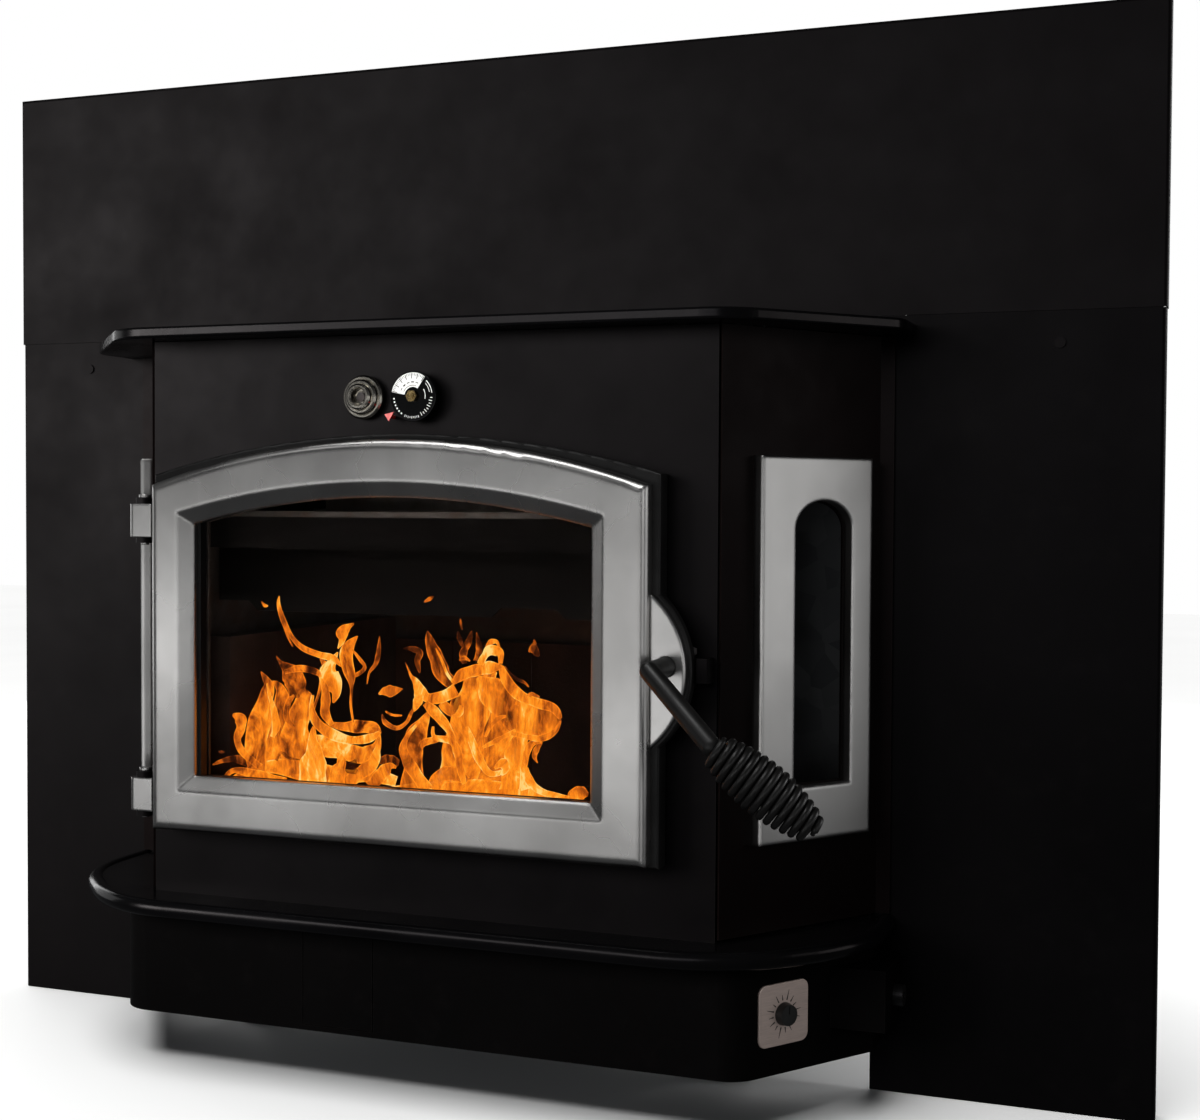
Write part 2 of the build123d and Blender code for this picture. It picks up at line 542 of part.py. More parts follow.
with BuildPart() as hinge_brackets:
    for z in HINGE_Z:
        for z0 in (z - 6.3, z + 36.3):
            block(-329, -311, HINGE_Y - 9, -BODY_D, z0, z0 + 6)
        block(-322, -308, -BODY_D - 3, -BODY_D, z - 6.3, z + 42.3)
    fillet(hinge_brackets.edges().filter_by(Axis.Z).filter_by(lambda e: e.center().Y < HINGE_Y - 8), radius=7)
    for z in HINGE_Z:
        rod((HINGE_X, HINGE_Y, z - 10), (HINGE_X, HINGE_Y, z + 50), 4.0, mode=Mode.SUBTRACT)
keep("hinge_brackets", hinge_brackets)

with BuildPart() as hinge_pins:
    for z in HINGE_Z:
        rod((HINGE_X, HINGE_Y, z - 8.3), (HINGE_X, HINGE_Y, z + 42.3), 4.0)
        rod((HINGE_X, HINGE_Y, z + 42.3), (HINGE_X, HINGE_Y, z + 46.3), 6.5)
keep("hinge_pins", hinge_pins)

# ---------------------------------------------------------------- latch handle
HT = math.radians(-38.5)


def handle_point(s, y):
    return (HANDLE_X + s * math.cos(HT), y, HANDLE_Z + s * math.sin(HT))


ELBOW = (HANDLE_X, -258, HANDLE_Z)
GRIP0 = handle_point(97, -308)
GRIP1 = handle_point(216, -291)
with BuildPart() as handle_rod:
    rod((HANDLE_X, -190.2, HANDLE_Z), ELBOW, HANDLE_R)
    with Locations(ELBOW):
        Sphere(HANDLE_R)
    rod(ELBOW, GRIP0, HANDLE_R)
    with Locations(GRIP0):
        Sphere(HANDLE_R)
    g = (Vector(*GRIP1) - Vector(*GRIP0)).normalized()
    rod(GRIP0, tuple(Vector(*GRIP1) - g * 6), 7.0)
    rod((HANDLE_X, -184.2, HANDLE_Z), (HANDLE_X, -190.2, HANDLE_Z), 5.0)
keep("handle_rod", handle_rod)

# the wire grip: a barrel of close coils
with BuildPart() as spring_grip:
    gl = (Vector(*GRIP1) - Vector(*GRIP0)).length
    gp = Plane(origin=GRIP0, x_dir=g.cross(Vector(0, 1, 0)), z_dir=g)
    turns = 14
    with BuildSketch(Plane(origin=gp.origin, x_dir=gp.x_dir, z_dir=-gp.y_dir)) as coil_profile:
        with BuildLine():
            pts = []
            for i in range(turns + 1):
                t = i / turns
                r = 11.5 + 11.5 * math.sin(math.pi * min(1.0, t * 1.0)) ** 0.8 if 0 < t < 1 else 11.5
                pts.append((r, 4 + t * (gl - 6)))
            Polyline((7.0, pts[0][1]), pts[0])
            for i in range(turns):
                (r0, h0), (r1, h1) = pts[i], pts[i + 1]
                ThreePointArc((r0, h0), ((r0 + r1) / 2 + 3.6, (h0 + h1) / 2), (r1, h1))
            Polyline(pts[-1], (7.0, pts[-1][1]), (7.0, pts[0][1]))
        make_face()
    revolve(axis=Axis(origin=GRIP0, direction=g))
    with Locations(GRIP0):
        Sphere(HANDLE_R + 0.02, mode=Mode.SUBTRACT)
keep("spring_grip", spring_grip)

with BuildPart() as latch_cam:
    with BuildSketch(Plane.XZ.offset(184.4)):
        with Locations((HANDLE_X, HANDLE_Z)):
            Circle(7.4)
        a = math.radians(35)
        with BuildLine():
            e = (math.cos(a), math.sin(a))
            n = (-math.sin(a), math.cos(a))
            P = lambda s, t: (HANDLE_X + s * e[0] + t * n[0], HANDLE_Z + s * e[1] + t * n[1])
            Polyline(P(0, -4.5), P(26.5, -4.5), P(29.5, 0), P(26.5, 4.5), P(0, 4.5), close=True)
        make_face()
        with Locations((HANDLE_X, HANDLE_Z)):
            Circle(5.0, mode=Mode.SUBTRACT)
    extrude(amount=5.4)
keep("latch_cam", latch_cam)

# the keeper on the stove front that the cam turns behind
with BuildPart() as latch_keeper:
    block(311, 319, -197, -BODY_D, 442, 466)
    block(306.2, 319, -197, -192.5, 442, 466)
    fillet(latch_keeper.edges().filter_by(Axis.Z).group_by(Axis.Y)[0], radius=1.5)
keep("latch_keeper", latch_keeper)

# ---------------------------------------------------------------- base
base_back = -BASE_D + (BASE_W - BASE_A) * SIDE_S / SIDE_C
base_line = [(-BASE_W, 30), (-BASE_W, base_back), (-BASE_A, -BASE_D), (BASE_A, -BASE_D), (BASE_W, base_back), (BASE_W, 30)]
base_corner = (BASE_A, -BASE_D)
with BuildPart() as base_skirt:
    with BuildSketch(Plane.XY.offset(BASE_Z0)) as base_plan:
        plan(base_line)
        fillet(base_plan.vertices().group_by(Axis.Y)[0], radius=40)
        offset(amount=-SHEET_T, mode=Mode.SUBTRACT)
    extrude(amount=BASE_Z1 - BASE_Z0)
    block(-500, 500, -0.4, 60, 0, 300, mode=Mode.SUBTRACT)
    block(-131.6, -47.4, -BASE_D - 5, -BASE_D + 10, BASE_Z0 + 6, BASE_Z1 + 5, mode=Mode.SUBTRACT)
    with BuildSketch(angled_face(10, base_corner)):
        with Locations((CTRL_S, CTRL_Z)):
            Circle(5.0)
    extrude(amount=-30, mode=Mode.SUBTRACT)
keep("base_skirt", base_skirt)

with BuildPart() as base_cover:
    block(-130.6, -48.4, -BASE_D, -BASE_D + SHEET_T, BASE_Z0 + 6.6, BASE_Z1)
    block(-120, -59, -BASE_D + SHEET_T, -BASE_D + SHEET_T + 12, BASE_Z0 + 12, BASE_Z0 + 14.5)
keep("base_cover", base_cover)

with BuildPart() as base_pan:
    with BuildSketch(Plane.XY.offset(BASE_Z0)) as pan_plan:
        plan(base_line)
        fillet(pan_plan.vertices().group_by(Axis.Y)[0], radius=40)
        offset(amount=-2.8, mode=Mode.REPLACE)
    extrude(amount=3)
    block(-500, 500, -0.4, 60, 0, 300, mode=Mode.SUBTRACT)
    block(-JACKET_W, JACKET_W, -1, JACKET_Y1, BASE_Z0, BASE_Z0 + 3)
    for x in (-250, 250):
        for y in (-80, 200):
            with Locations((x, y, BASE_Z0)):
                Cylinder(6.5, 20, mode=Mode.SUBTRACT)
keep("base_pan", base_pan)

with BuildPart() as levelling_feet:
    for x in (-300, 300):
        for y in (-4, 340):
            with Locations((x, y, 5)):
                Cylinder(22, 10)
            with Locations((x, y, 31.5)):
                Cylinder(7, 43)
            with BuildSketch(Plane.XY.offset(43)):
                with Locations((x, y)):
                    RegularPolygon(13, 6)
            extrude(amount=10)
keep("levelling_feet", levelling_feet)

# ---------------------------------------------------------------- blower control on the right slanted base face
with BuildPart() as control_plate:
    with BuildSketch(angled_face(0, base_corner)):
        with Locations((CTRL_S, CTRL_Z)):
            RectangleRounded(64, 62, 9)
            Circle(4.6, mode=Mode.SUBTRACT)
    extrude(amount=2)
    outward = Axis(origin=(0, 0, 0), direction=tuple(SIDE_N))
    fillet(control_plate.faces().sort_by(outward)[-1].outer_wire().edges(), radius=0.8)
keep("control_plate", control_plate)

with BuildPart() as control_knob:
    with BuildSketch(angled_face(2.3, base_corner)):
        with Locations((CTRL_S, CTRL_Z)):
            Circle(11.5)
    extrude(amount=8, taper=8)
    with BuildSketch(angled_face(2.3, base_corner)):
        with Locations((CTRL_S, CTRL_Z)):
            Circle(4.54)
    extrude(amount=-14)
    with BuildSketch(angled_face(9.5, base_corner)):
        with Locations((CTRL_S, CTRL_Z + 5)):
            Rectangle(1.6, 8)
    extrude(amount=2, mode=Mode.SUBTRACT)
keep("control_knob", control_knob)


def beside_base(d):
    # the ground taken by the base, grown by d, beside the electrical box
    x0, y0 = BASE_A + SIDE_N.X * d, -BASE_D + SIDE_N.Y * d
    return [(x0, y0), (BASE_W + d, y0 + (BASE_W + d - x0) * SIDE_S / SIDE_C), (BASE_W + d, 20), (300, 20), (300, y0)]


with BuildPart() as electrical_box_room:
    block(408, 472, -88, -10, 90, 148)
    with BuildSketch(Plane.XY.offset(80)):
        plan(beside_base(2.4))
    extrude(amount=90, mode=Mode.SUBTRACT)
with BuildPart() as electrical_box:
    block(404, 474, -90, -8, 88, 150)
    with BuildSketch(Plane.XY.offset(80)):
        plan(beside_base(0.4))
    extrude(amount=90, mode=Mode.SUBTRACT)
    add(electrical_box_room.part, mode=Mode.SUBTRACT)
    with BuildSketch(Plane.YZ.offset(460)):
        with Locations((-40, 114)):
            Circle(8.0)
    extrude(amount=20, mode=Mode.SUBTRACT)
keep("electrical_box", electrical_box)

with BuildPart() as cord_gland:
    rod((474, -40, 114), (484, -40, 114), 11)
    rod((470, -40, 114), (474, -40, 114), 8.0)
    rod((469, -40, 114), (486, -40, 114), 4.0, mode=Mode.SUBTRACT)
keep("cord_gland", cord_gland)

# ---------------------------------------------------------------- blower under the firebox
with BuildPart() as blower_motor:
    rod((-48, BLOWER_Y, BLOWER_Z), (48, BLOWER_Y, BLOWER_Z), 44)
    fillet(blower_motor.edges().filter_by(GeomType.CIRCLE), radius=6)
    block(-34, 34, BLOWER_Y - 30, BLOWER_Y + 30, BASE_Z0 + 3, BLOWER_Z - 30)
    for x0, x1 in ((-54, -47), (47, 54)):
        rod((x0, BLOWER_Y, BLOWER_Z), (x1, BLOWER_Y, BLOWER_Z), 12)
    rod((-60, BLOWER_Y, BLOWER_Z), (60, BLOWER_Y, BLOWER_Z), 5.06, mode=Mode.SUBTRACT)
keep("blower_motor", blower_motor)

with BuildPart() as blower_wheels:
    rod((-132, BLOWER_Y, BLOWER_Z), (132, BLOWER_Y, BLOWER_Z), 5.0)
    for s in (-1, 1):
        rod((s * 64, BLOWER_Y, BLOWER_Z), (s * 67, BLOWER_Y, BLOWER_Z), 50)
        rod((s * 64, BLOWER_Y, BLOWER_Z), (s * 90, BLOWER_Y, BLOWER_Z), 11)
        with BuildSketch(Plane.YZ.offset(64 if s > 0 else -124)):
            with Locations((BLOWER_Y, BLOWER_Z)):
                with PolarLocations(44, 24):
                    Rectangle(11, 1.6, rotation=35)
        extrude(amount=60)
        with BuildSketch(Plane.YZ.offset(120 if s > 0 else -124)):
            with Locations((BLOWER_Y, BLOWER_Z)):
                Circle(50)
                Circle(39, mode=Mode.SUBTRACT)
        extrude(amount=4)
keep("blower_wheels", blower_wheels)

with BuildPart() as blower_housings:
    for s in (-1, 1):
        x0, x1 = (58, 130) if s > 0 else (-130, -58)
        with BuildSketch(Plane.YZ.offset(x0)):
            with Locations((BLOWER_Y, BLOWER_Z)):
                Circle(62)
            with Locations((BLOWER_Y + 42, BLOWER_Z - 36)):
                Rectangle(84, 52)
        extrude(amount=72)
        with BuildSketch(Plane.YZ.offset(x0 + 2)):
            with Locations((BLOWER_Y, BLOWER_Z)):
                Circle(60)
            with Locations((BLOWER_Y + 46, BLOWER_Z - 36)):
                Rectangle(84, 48)
        extrude(amount=68, mode=Mode.SUBTRACT)
        with BuildSketch(Plane.YZ.offset(x0 - 1)):
            with Locations((BLOWER_Y, BLOWER_Z)):
                Circle(36)
        extrude(amount=74, mode=Mode.SUBTRACT)
        block(x0, x1, BLOWER_Y - 20, BLOWER_Y + 20, BASE_Z0 + 3, BLOWER_Z - 60.5)
keep("blower_housings", blower_housings)

# ---------------------------------------------------------------- shift to the shared origin, name and write
for name, builder in PIECES.items():
    builder.part.label = name
    shifted = builder.part.moved(Location((-ORIGIN_X, -ORIGIN_Y, 0)))
    shifted.label = name
    export_step(shifted, "parts/" + name + ".step")
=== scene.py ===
import json
import math

import bmesh
import bpy
from mathutils import Matrix, Vector, noise

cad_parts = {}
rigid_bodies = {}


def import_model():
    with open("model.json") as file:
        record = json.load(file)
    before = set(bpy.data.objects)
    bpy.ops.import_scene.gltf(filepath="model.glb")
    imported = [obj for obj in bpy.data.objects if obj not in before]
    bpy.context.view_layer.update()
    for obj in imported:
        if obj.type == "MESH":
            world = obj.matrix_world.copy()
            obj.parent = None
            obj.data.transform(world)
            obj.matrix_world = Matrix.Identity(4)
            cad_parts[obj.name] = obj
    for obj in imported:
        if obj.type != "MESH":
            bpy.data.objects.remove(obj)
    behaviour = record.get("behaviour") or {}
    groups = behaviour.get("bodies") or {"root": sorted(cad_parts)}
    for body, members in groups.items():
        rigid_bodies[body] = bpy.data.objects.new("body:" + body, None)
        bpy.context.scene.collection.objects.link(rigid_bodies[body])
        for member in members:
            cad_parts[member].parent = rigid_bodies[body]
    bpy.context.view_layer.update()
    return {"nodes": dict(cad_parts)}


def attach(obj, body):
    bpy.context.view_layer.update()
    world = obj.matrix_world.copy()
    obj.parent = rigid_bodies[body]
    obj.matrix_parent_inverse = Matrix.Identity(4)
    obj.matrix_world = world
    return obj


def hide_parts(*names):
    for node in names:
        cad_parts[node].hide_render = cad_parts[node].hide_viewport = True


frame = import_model()
nodes = frame["nodes"]

# ---------------------------------------------------------------- shared numbers (stove millimetres -> row metres)
OX, OY = 43.2, 34.93
CAM_MM = (796.09, -1790.88, 610.69)
CAM_YAW, CAM_PITCH, CAM_ROLL, CAM_F = 20.27, -1.71, 0.31, 1724.09


def W(x, y, z):
    return Vector(((x - OX) / 1000.0, (y - OY) / 1000.0, z / 1000.0))


def camera_axes():
    y, p, r = (math.radians(v) for v in (CAM_YAW, CAM_PITCH, CAM_ROLL))
    fwd = Vector((-math.sin(y) * math.cos(p), math.cos(y) * math.cos(p), math.sin(p)))
    right = Vector((math.cos(y), math.sin(y), 0.0))
    up = right.cross(fwd)
    return right * math.cos(r) + up * math.sin(r), -right * math.sin(r) + up * math.cos(r), fwd


RIGHT, UP, FWD = camera_axes()


def at_depth(px, py, y_mm):
    """The point seen at this place of the picture on the plane Y = y_mm (stove millimetres)."""
    d = FWD + RIGHT * ((px - 600) / CAM_F) - UP * ((py - 560) / CAM_F)
    t = (y_mm - CAM_MM[1]) / d.y
    return CAM_MM[0] + d.x * t, y_mm, CAM_MM[2] + d.z * t


# ---------------------------------------------------------------- material building
class Mat:
    def __init__(self, name):
        self.m = bpy.data.materials.new(name)
        self.m.use_nodes = True
        self.nt = self.m.node_tree
        self.nt.nodes.clear()
        self.out = self.nt.nodes.new("ShaderNodeOutputMaterial")
        self.b = self.nt.nodes.new("ShaderNodeBsdfPrincipled")
        self.nt.links.new(self.b.outputs[0], self.out.inputs[0])
        self.tc = self.nt.nodes.new("ShaderNodeTexCoord")
        self.co = self.tc.outputs["Object"]

    def n(self, kind, **props):
        node = self.nt.nodes.new(kind)
        for k, v in props.items():
            setattr(node, k, v)
        return node

    def link(self, a, b):
        self.nt.links.new(a, b)

    def mapped(self, scale=(1, 1, 1), rot=(0, 0, 0)):
        mp = self.n("ShaderNodeMapping")
        mp.inputs["Scale"].default_value = scale
        mp.inputs["Rotation"].default_value = rot
        self.link(self.co, mp.inputs["Vector"])
        return mp.outputs[0]

    def noise(self, scale, detail=4.0, rough=0.55, distort=0.0, co=None):
        t = self.n("ShaderNodeTexNoise")
        t.inputs["Scale"].default_value = scale
        t.inputs["Detail"].default_value = detail
        t.inputs["Roughness"].default_value = rough
        t.inputs["Distortion"].default_value = distort
        self.link(co or self.co, t.inputs["Vector"])
        return t.outputs["Fac"]

    def voronoi(self, scale, feature="F1", co=None):
        t = self.n("ShaderNodeTexVoronoi", feature=feature)
        t.inputs["Scale"].default_value = scale
        self.link(co or self.co, t.inputs["Vector"])
        return t.outputs["Distance"]

    def ramp(self, fac, stops):
        r = self.n("ShaderNodeValToRGB")
        el = r.color_ramp.elements
        while len(el) > 1:
            el.remove(el[-1])
        el[0].position, el[0].color = stops[0][0], self.rgba(stops[0][1])
        for pos, col in stops[1:]:
            e = el.new(pos)
            e.color = self.rgba(col)
        self.link(fac, r.inputs[0])
        return r.outputs[0]

    @staticmethod
    def rgba(c):
        if isinstance(c, (int, float)):
            return (c, c, c, 1)
        return (*c, 1) if len(c) == 3 else c

    def range(self, fac, a, b, lo, hi):
        r = self.n("ShaderNodeMapRange")
        for k, v in zip(("From Min", "From Max", "To Min", "To Max"), (a, b, lo, hi)):
            r.inputs[k].default_value = v
        self.link(fac, r.inputs["Value"])
        return r.outputs[0]

    def math(self, op, a, b=None, clamp=False):
        r = self.n("ShaderNodeMath", operation=op, use_clamp=clamp)
        for i, v in enumerate((a, b)):
            if v is None:
                continue
            if isinstance(v, (int, float)):
                r.inputs[i].default_value = v
            else:
                self.link(v, r.inputs[i])
        return r.outputs[0]

    def mix(self, fac, a, b, blend="MIX"):
        r = self.n("ShaderNodeMix", data_type="RGBA", blend_type=blend)
        for sock, v in ((r.inputs[0], fac), (r.inputs[6], a), (r.inputs[7], b)):
            if isinstance(v, (int, float)):
                sock.default_value = v if sock.type == "VALUE" else self.rgba(v)
            elif isinstance(v, tuple):
                sock.default_value = self.rgba(v)
            else:
                self.link(v, sock)
        return r.outputs[2]

    def bump(self, height, strength=0.3, distance=0.001, normal=None):
        r = self.n("ShaderNodeBump")
        r.inputs["Strength"].default_value = strength
        r.inputs["Distance"].default_value = distance
        self.link(height, r.inputs["Height"])
        if normal is not None:
            self.link(normal, r.inputs["Normal"])
        return r.outputs[0]

    def edge_wear(self, radius=0.0015):
        # brighter where the surface turns sharply: compares a bevelled normal with the true one
        bv = self.n("ShaderNodeBevel", samples=4)
        bv.inputs["Radius"].default_value = radius
        geo = self.n("ShaderNodeNewGeometry")
        dot = self.n("ShaderNodeVectorMath", operation="DOT_PRODUCT")
        self.link(bv.outputs[0], dot.inputs[0])
        self.link(geo.outputs["Normal"], dot.inputs[1])
        return self.range(dot.outputs["Value"], 1.0, 0.86, 0.0, 1.0)

    def set(self, **kw):
        for k, v in kw.items():
            sock = self.b.inputs[k.replace("_", " ")]
            if isinstance(v, (int, float)):
                sock.default_value = v
            elif isinstance(v, tuple):
                sock.default_value = v if len(v) != 3 or sock.type != "RGBA" else (*v, 1)
            else:
                self.link(v, sock)
        return self.m


def stove_paint(name, base=(0.0042, 0.0036, 0.0040), rough=0.46, spec=0.11, grain=0.35, wear=0.35):
    m = Mat(name)
    big = m.noise(4.0, 5, 0.6)
    mid = m.noise(38.0, 4, 0.6)
    col = m.ramp(big, [(0.3, tuple(c * 0.72 for c in base)), (0.55, base), (0.75, tuple(c * 1.45 for c in base))])
    dust = m.ramp(mid, [(0.55, (0, 0, 0)), (0.85, (0.0022, 0.0020, 0.0019))])
    col = m.mix(1.0, col, dust, "ADD")
    if wear:
        edge = m.math("MULTIPLY", m.edge_wear(0.0012), m.range(m.noise(60, 3), 0.35, 0.7, 0.15, 1.0))
        col = m.mix(m.math("MULTIPLY", edge, wear), col, (0.045, 0.042, 0.039))
    r = m.range(m.noise(9.0, 5, 0.62), 0.3, 0.72, rough - 0.07, rough + 0.09)
    fine = m.noise(1700.0, 2, 0.5)
    peel = m.noise(420.0, 3, 0.5)
    b1 = m.bump(fine, grain, 0.00006)
    b2 = m.bump(peel, 0.25, 0.00012, b1)
    b3 = m.bump(m.noise(3.0, 2), 0.18, 0.002, b2)
    return m.set(Base_Color=col, Roughness=r, Normal=b3, Specular_IOR_Level=spec)


def gloss_enamel(name, base=(0.006, 0.006, 0.007), rough=0.17, spec=0.5):
    m = Mat(name)
    col = m.ramp(m.noise(6, 4), [(0.35, tuple(c * 0.8 for c in base)), (0.7, tuple(c * 1.5 for c in base))])
    smear = m.noise(13.0, 6, 0.65, 0.6)
    r = m.range(smear, 0.32, 0.75, rough - 0.04, rough + 0.13)
    b1 = m.bump(m.noise(260, 2), 0.12, 0.00012)
    b2 = m.bump(m.noise(14, 3), 0.10, 0.0008, b1)
    edge = m.math("MULTIPLY", m.edge_wear(0.0010), m.range(m.noise(45, 3), 0.4, 0.7, 0.05, 0.5))
    col = m.mix(edge, col, (0.05, 0.048, 0.046))
    return m.set(Base_Color=col, Roughness=r, Normal=b2, Specular_IOR_Level=spec)


def nickel(name, light=(0.62, 0.612, 0.60), dark=(0.27, 0.262, 0.255), rough=0.27, cloud=7.0, amount=0.55, edge_r=0.004):
    m = Mat(name)
    c1 = m.noise(cloud, 3, 0.5, 0.5)
    c2 = m.noise(cloud * 2.6, 3, 0.5, 0.3)
    clouds = m.math("ADD", m.math("MULTIPLY", c1, 0.78), m.math("MULTIPLY", c2, 0.22))
    fac = m.range(clouds, 0.36, 0.66, amount, 0.0)
    col = m.mix(fac, light, dark)
    scratch = m.noise(90, 3, 0.6, co=m.mapped((1, 1, 0.06), (0.0, 0.5, 0.0)))
    col = m.mix(m.range(scratch, 0.62, 0.8, 0.0, 0.12), col, (0.72, 0.71, 0.70))
    r = m.range(m.noise(9, 3, 0.5), 0.3, 0.72, rough - 0.04, rough + 0.07)
    bv = m.n("ShaderNodeBevel", samples=12)
    bv.inputs["Radius"].default_value = edge_r
    b2 = m.bump(m.noise(6, 2, 0.5), 0.04, 0.0010, bv.outputs[0])
    b3 = m.bump(m.noise(900, 2), 0.04, 0.00003, b2)
    return m.set(Base_Color=col, Roughness=r, Normal=b3, Metallic=1.0)


def turned_metal(name, axis_mm, base, rough=0.2, along="Y"):
    # a lathe-turned finish: fine rings about an axis through axis_mm
    m = Mat(name)
    sep = m.n("ShaderNodeSeparateXYZ")
    m.link(m.co, sep.inputs[0])
    c = W(*axis_mm)
    dx = m.math("SUBTRACT", sep.outputs["X"], c.x)
    dz = m.math("SUBTRACT", sep.outputs["Z"], c.z)
    rr = m.math("SQRT", m.math("ADD", m.math("MULTIPLY", dx, dx), m.math("MULTIPLY", dz, dz)))
    wave = m.math("SINE", m.math("MULTIPLY", rr, 9000.0))
    col = m.ramp(m.noise(55, 4), [(0.3, tuple(v * 0.6 for v in base)), (0.7, base)])
    return m.set(Base_Color=col, Metallic=1.0,
                 Roughness=m.range(m.noise(120, 3), 0.3, 0.7, rough - 0.06, rough + 0.1),
                 Normal=m.bump(wave, 0.12, 0.0001))


def plate_steel(name, base=(0.16, 0.15, 0.145), soot=0.75):
    m = Mat(name)
    n1 = m.noise(7, 6, 0.65, 0.5)
    n2 = m.noise(60, 4, 0.6)
    col = m.ramp(n1, [(0.3, (0.012, 0.011, 0.010)), (0.5, tuple(v * 0.35 for v in base)), (0.78, base)])
    col = m.mix(m.range(n2, 0.5, 0.8, 0.0, 0.5), col, (0.10, 0.045, 0.02))
    return m.set(Base_Color=col, Metallic=m.range(n1, 0.35, 0.7, 0.1, 1.0 - soot * 0.5),
                 Roughness=m.range(n2, 0.3, 0.7, 0.45, 0.8), Normal=m.bump(m.noise(350, 4), 0.3, 0.0002))


def galvanised(name):
    m = Mat(name)
    cells = m.n("ShaderNodeTexVoronoi", feature="F1")
    cells.inputs["Scale"].default_value = 38.0
    m.link(m.co, cells.inputs["Vector"])
    spangle = m.n("ShaderNodeSeparateColor")
    m.link(cells.outputs["Color"], spangle.inputs[0])
    col = m.ramp(spangle.outputs[0], [(0.0, (0.30, 0.31, 0.32)), (1.0, (0.50, 0.51, 0.52))])
    col = m.mix(m.range(m.noise(5, 5), 0.4, 0.8, 0.0, 0.55), col, (0.22, 0.22, 0.225))
    return m.set(Base_Color=col, Metallic=0.9, Roughness=m.range(spangle.outputs[1], 0, 1, 0.34, 0.52),
                 Normal=m.bump(m.noise(200, 3), 0.12, 0.0002))


def cast_iron(name, base=(0.012, 0.011, 0.011), rough=0.5, coarse=1.0, spec=0.3):
    m = Mat(name)
    col = m.ramp(m.noise(12, 5, 0.6), [(0.3, tuple(v * 0.7 for v in base)), (0.75, tuple(v * 1.6 for v in base))])
    edge = m.math("MULTIPLY", m.edge_wear(0.0012), m.range(m.noise(70, 3), 0.4, 0.7, 0.1, 0.8))
    col = m.mix(edge, col, (0.05, 0.046, 0.042))
    grains = m.noise(700, 4, 0.6)
    b1 = m.bump(grains, 0.4 * coarse, 0.00018)
    b2 = m.bump(m.noise(90, 4), 0.25 * coarse, 0.0005, b1)
    return m.set(Base_Color=col, Roughness=m.range(m.noise(40, 4), 0.3, 0.7, rough - 0.08, rough + 0.1), Normal=b2,
                 Specular_IOR_Level=spec)


def firebrick(name):
    m = Mat(name)
    n1 = m.noise(9, 6, 0.65)
    n2 = m.noise(160, 4, 0.6)
    col = m.ramp(n1, [(0.28, (0.034, 0.022, 0.017)), (0.5, (0.075, 0.047, 0.036)), (0.75, (0.15, 0.10, 0.075))])
    soot = m.range(m.noise(5, 5, 0.6, 0.8), 0.38, 0.66, 0.2, 0.95)
    col = m.mix(soot, col, (0.022, 0.013, 0.0115))
    pores = m.range(m.voronoi(420), 0.0, 0.22, 0.0, 1.0)
    b1 = m.bump(pores, 0.5, 0.0008)
    b2 = m.bump(n2, 0.5, 0.0009, b1)
    return m.set(Base_Color=col, Roughness=0.93, Normal=b2, Specular_IOR_Level=0.2)


def ceramic_comb(name):
    m = Mat(name)
    n1 = m.noise(40, 5)
    col = m.ramp(n1, [(0.3, (0.20, 0.16, 0.12)), (0.7, (0.42, 0.37, 0.30))])
    return m.set(Base_Color=col, Roughness=0.85, Normal=m.bump(m.noise(500, 3), 0.3, 0.0002))


def rope(name):
    m = Mat(name)
    wv = m.n("ShaderNodeTexWave", wave_type="BANDS", bands_direction="DIAGONAL")
    wv.inputs["Scale"].default_value = 190.0
    wv.inputs["Distortion"].default_value = 1.5
    m.link(m.co, wv.inputs["Vector"])
    col = m.ramp(wv.outputs["Fac"], [(0.1, (0.012, 0.012, 0.012)), (0.9, (0.06, 0.058, 0.055))])
    return m.set(Base_Color=col, Roughness=0.95, Normal=m.bump(wv.outputs["Fac"], 0.8, 0.001))


def ceramic_glass(name):
    m = Mat(name)
    smudge = m.noise(9, 6, 0.65, 0.7)
    r = m.range(smudge, 0.45, 0.8, 0.015, 0.07)
    return m.set(Base_Color=(0.93, 0.88, 0.83), Roughness=r, Transmission_Weight=1.0, IOR=1.08,
                 Specular_IOR_Level=0.08)


def plastic(name, base=(0.012, 0.012, 0.012), rough=0.42):
    m = Mat(name)
    col = m.ramp(m.noise(90, 3), [(0.3, tuple(v * 0.8 for v in base)), (0.7, tuple(v * 1.3 for v in base))])
    return m.set(Base_Color=col, Roughness=m.range(m.noise(50, 4), 0.3, 0.7, rough - 0.05, rough + 0.1),
                 Normal=m.bump(m.noise(1400, 2), 0.25, 0.00006))


def enamel_flat(name, base, rough=0.4):
    m = Mat(name)
    col = m.ramp(m.noise(150, 4), [(0.3, tuple(v * 0.88 for v in base)), (0.7, base)])
    return m.set(Base_Color=col, Roughness=m.range(m.noise(70, 4), 0.3, 0.7, rough - 0.08, rough + 0.1),
                 Normal=m.bump(m.noise(900, 2), 0.12, 0.00005))


def brushed_plate(name, base=(0.62, 0.50, 0.45)):
    m = Mat(name)
    streak = m.noise(60, 4, 0.6, co=m.mapped((1, 1, 26)))
    col = m.ramp(streak, [(0.3, tuple(v * 0.78 for v in base)), (0.7, base)])
    return m.set(Base_Color=col, Metallic=0.45, Roughness=m.range(streak, 0.3, 0.7, 0.36, 0.5),
                 Normal=m.bump(streak, 0.12, 0.0001))


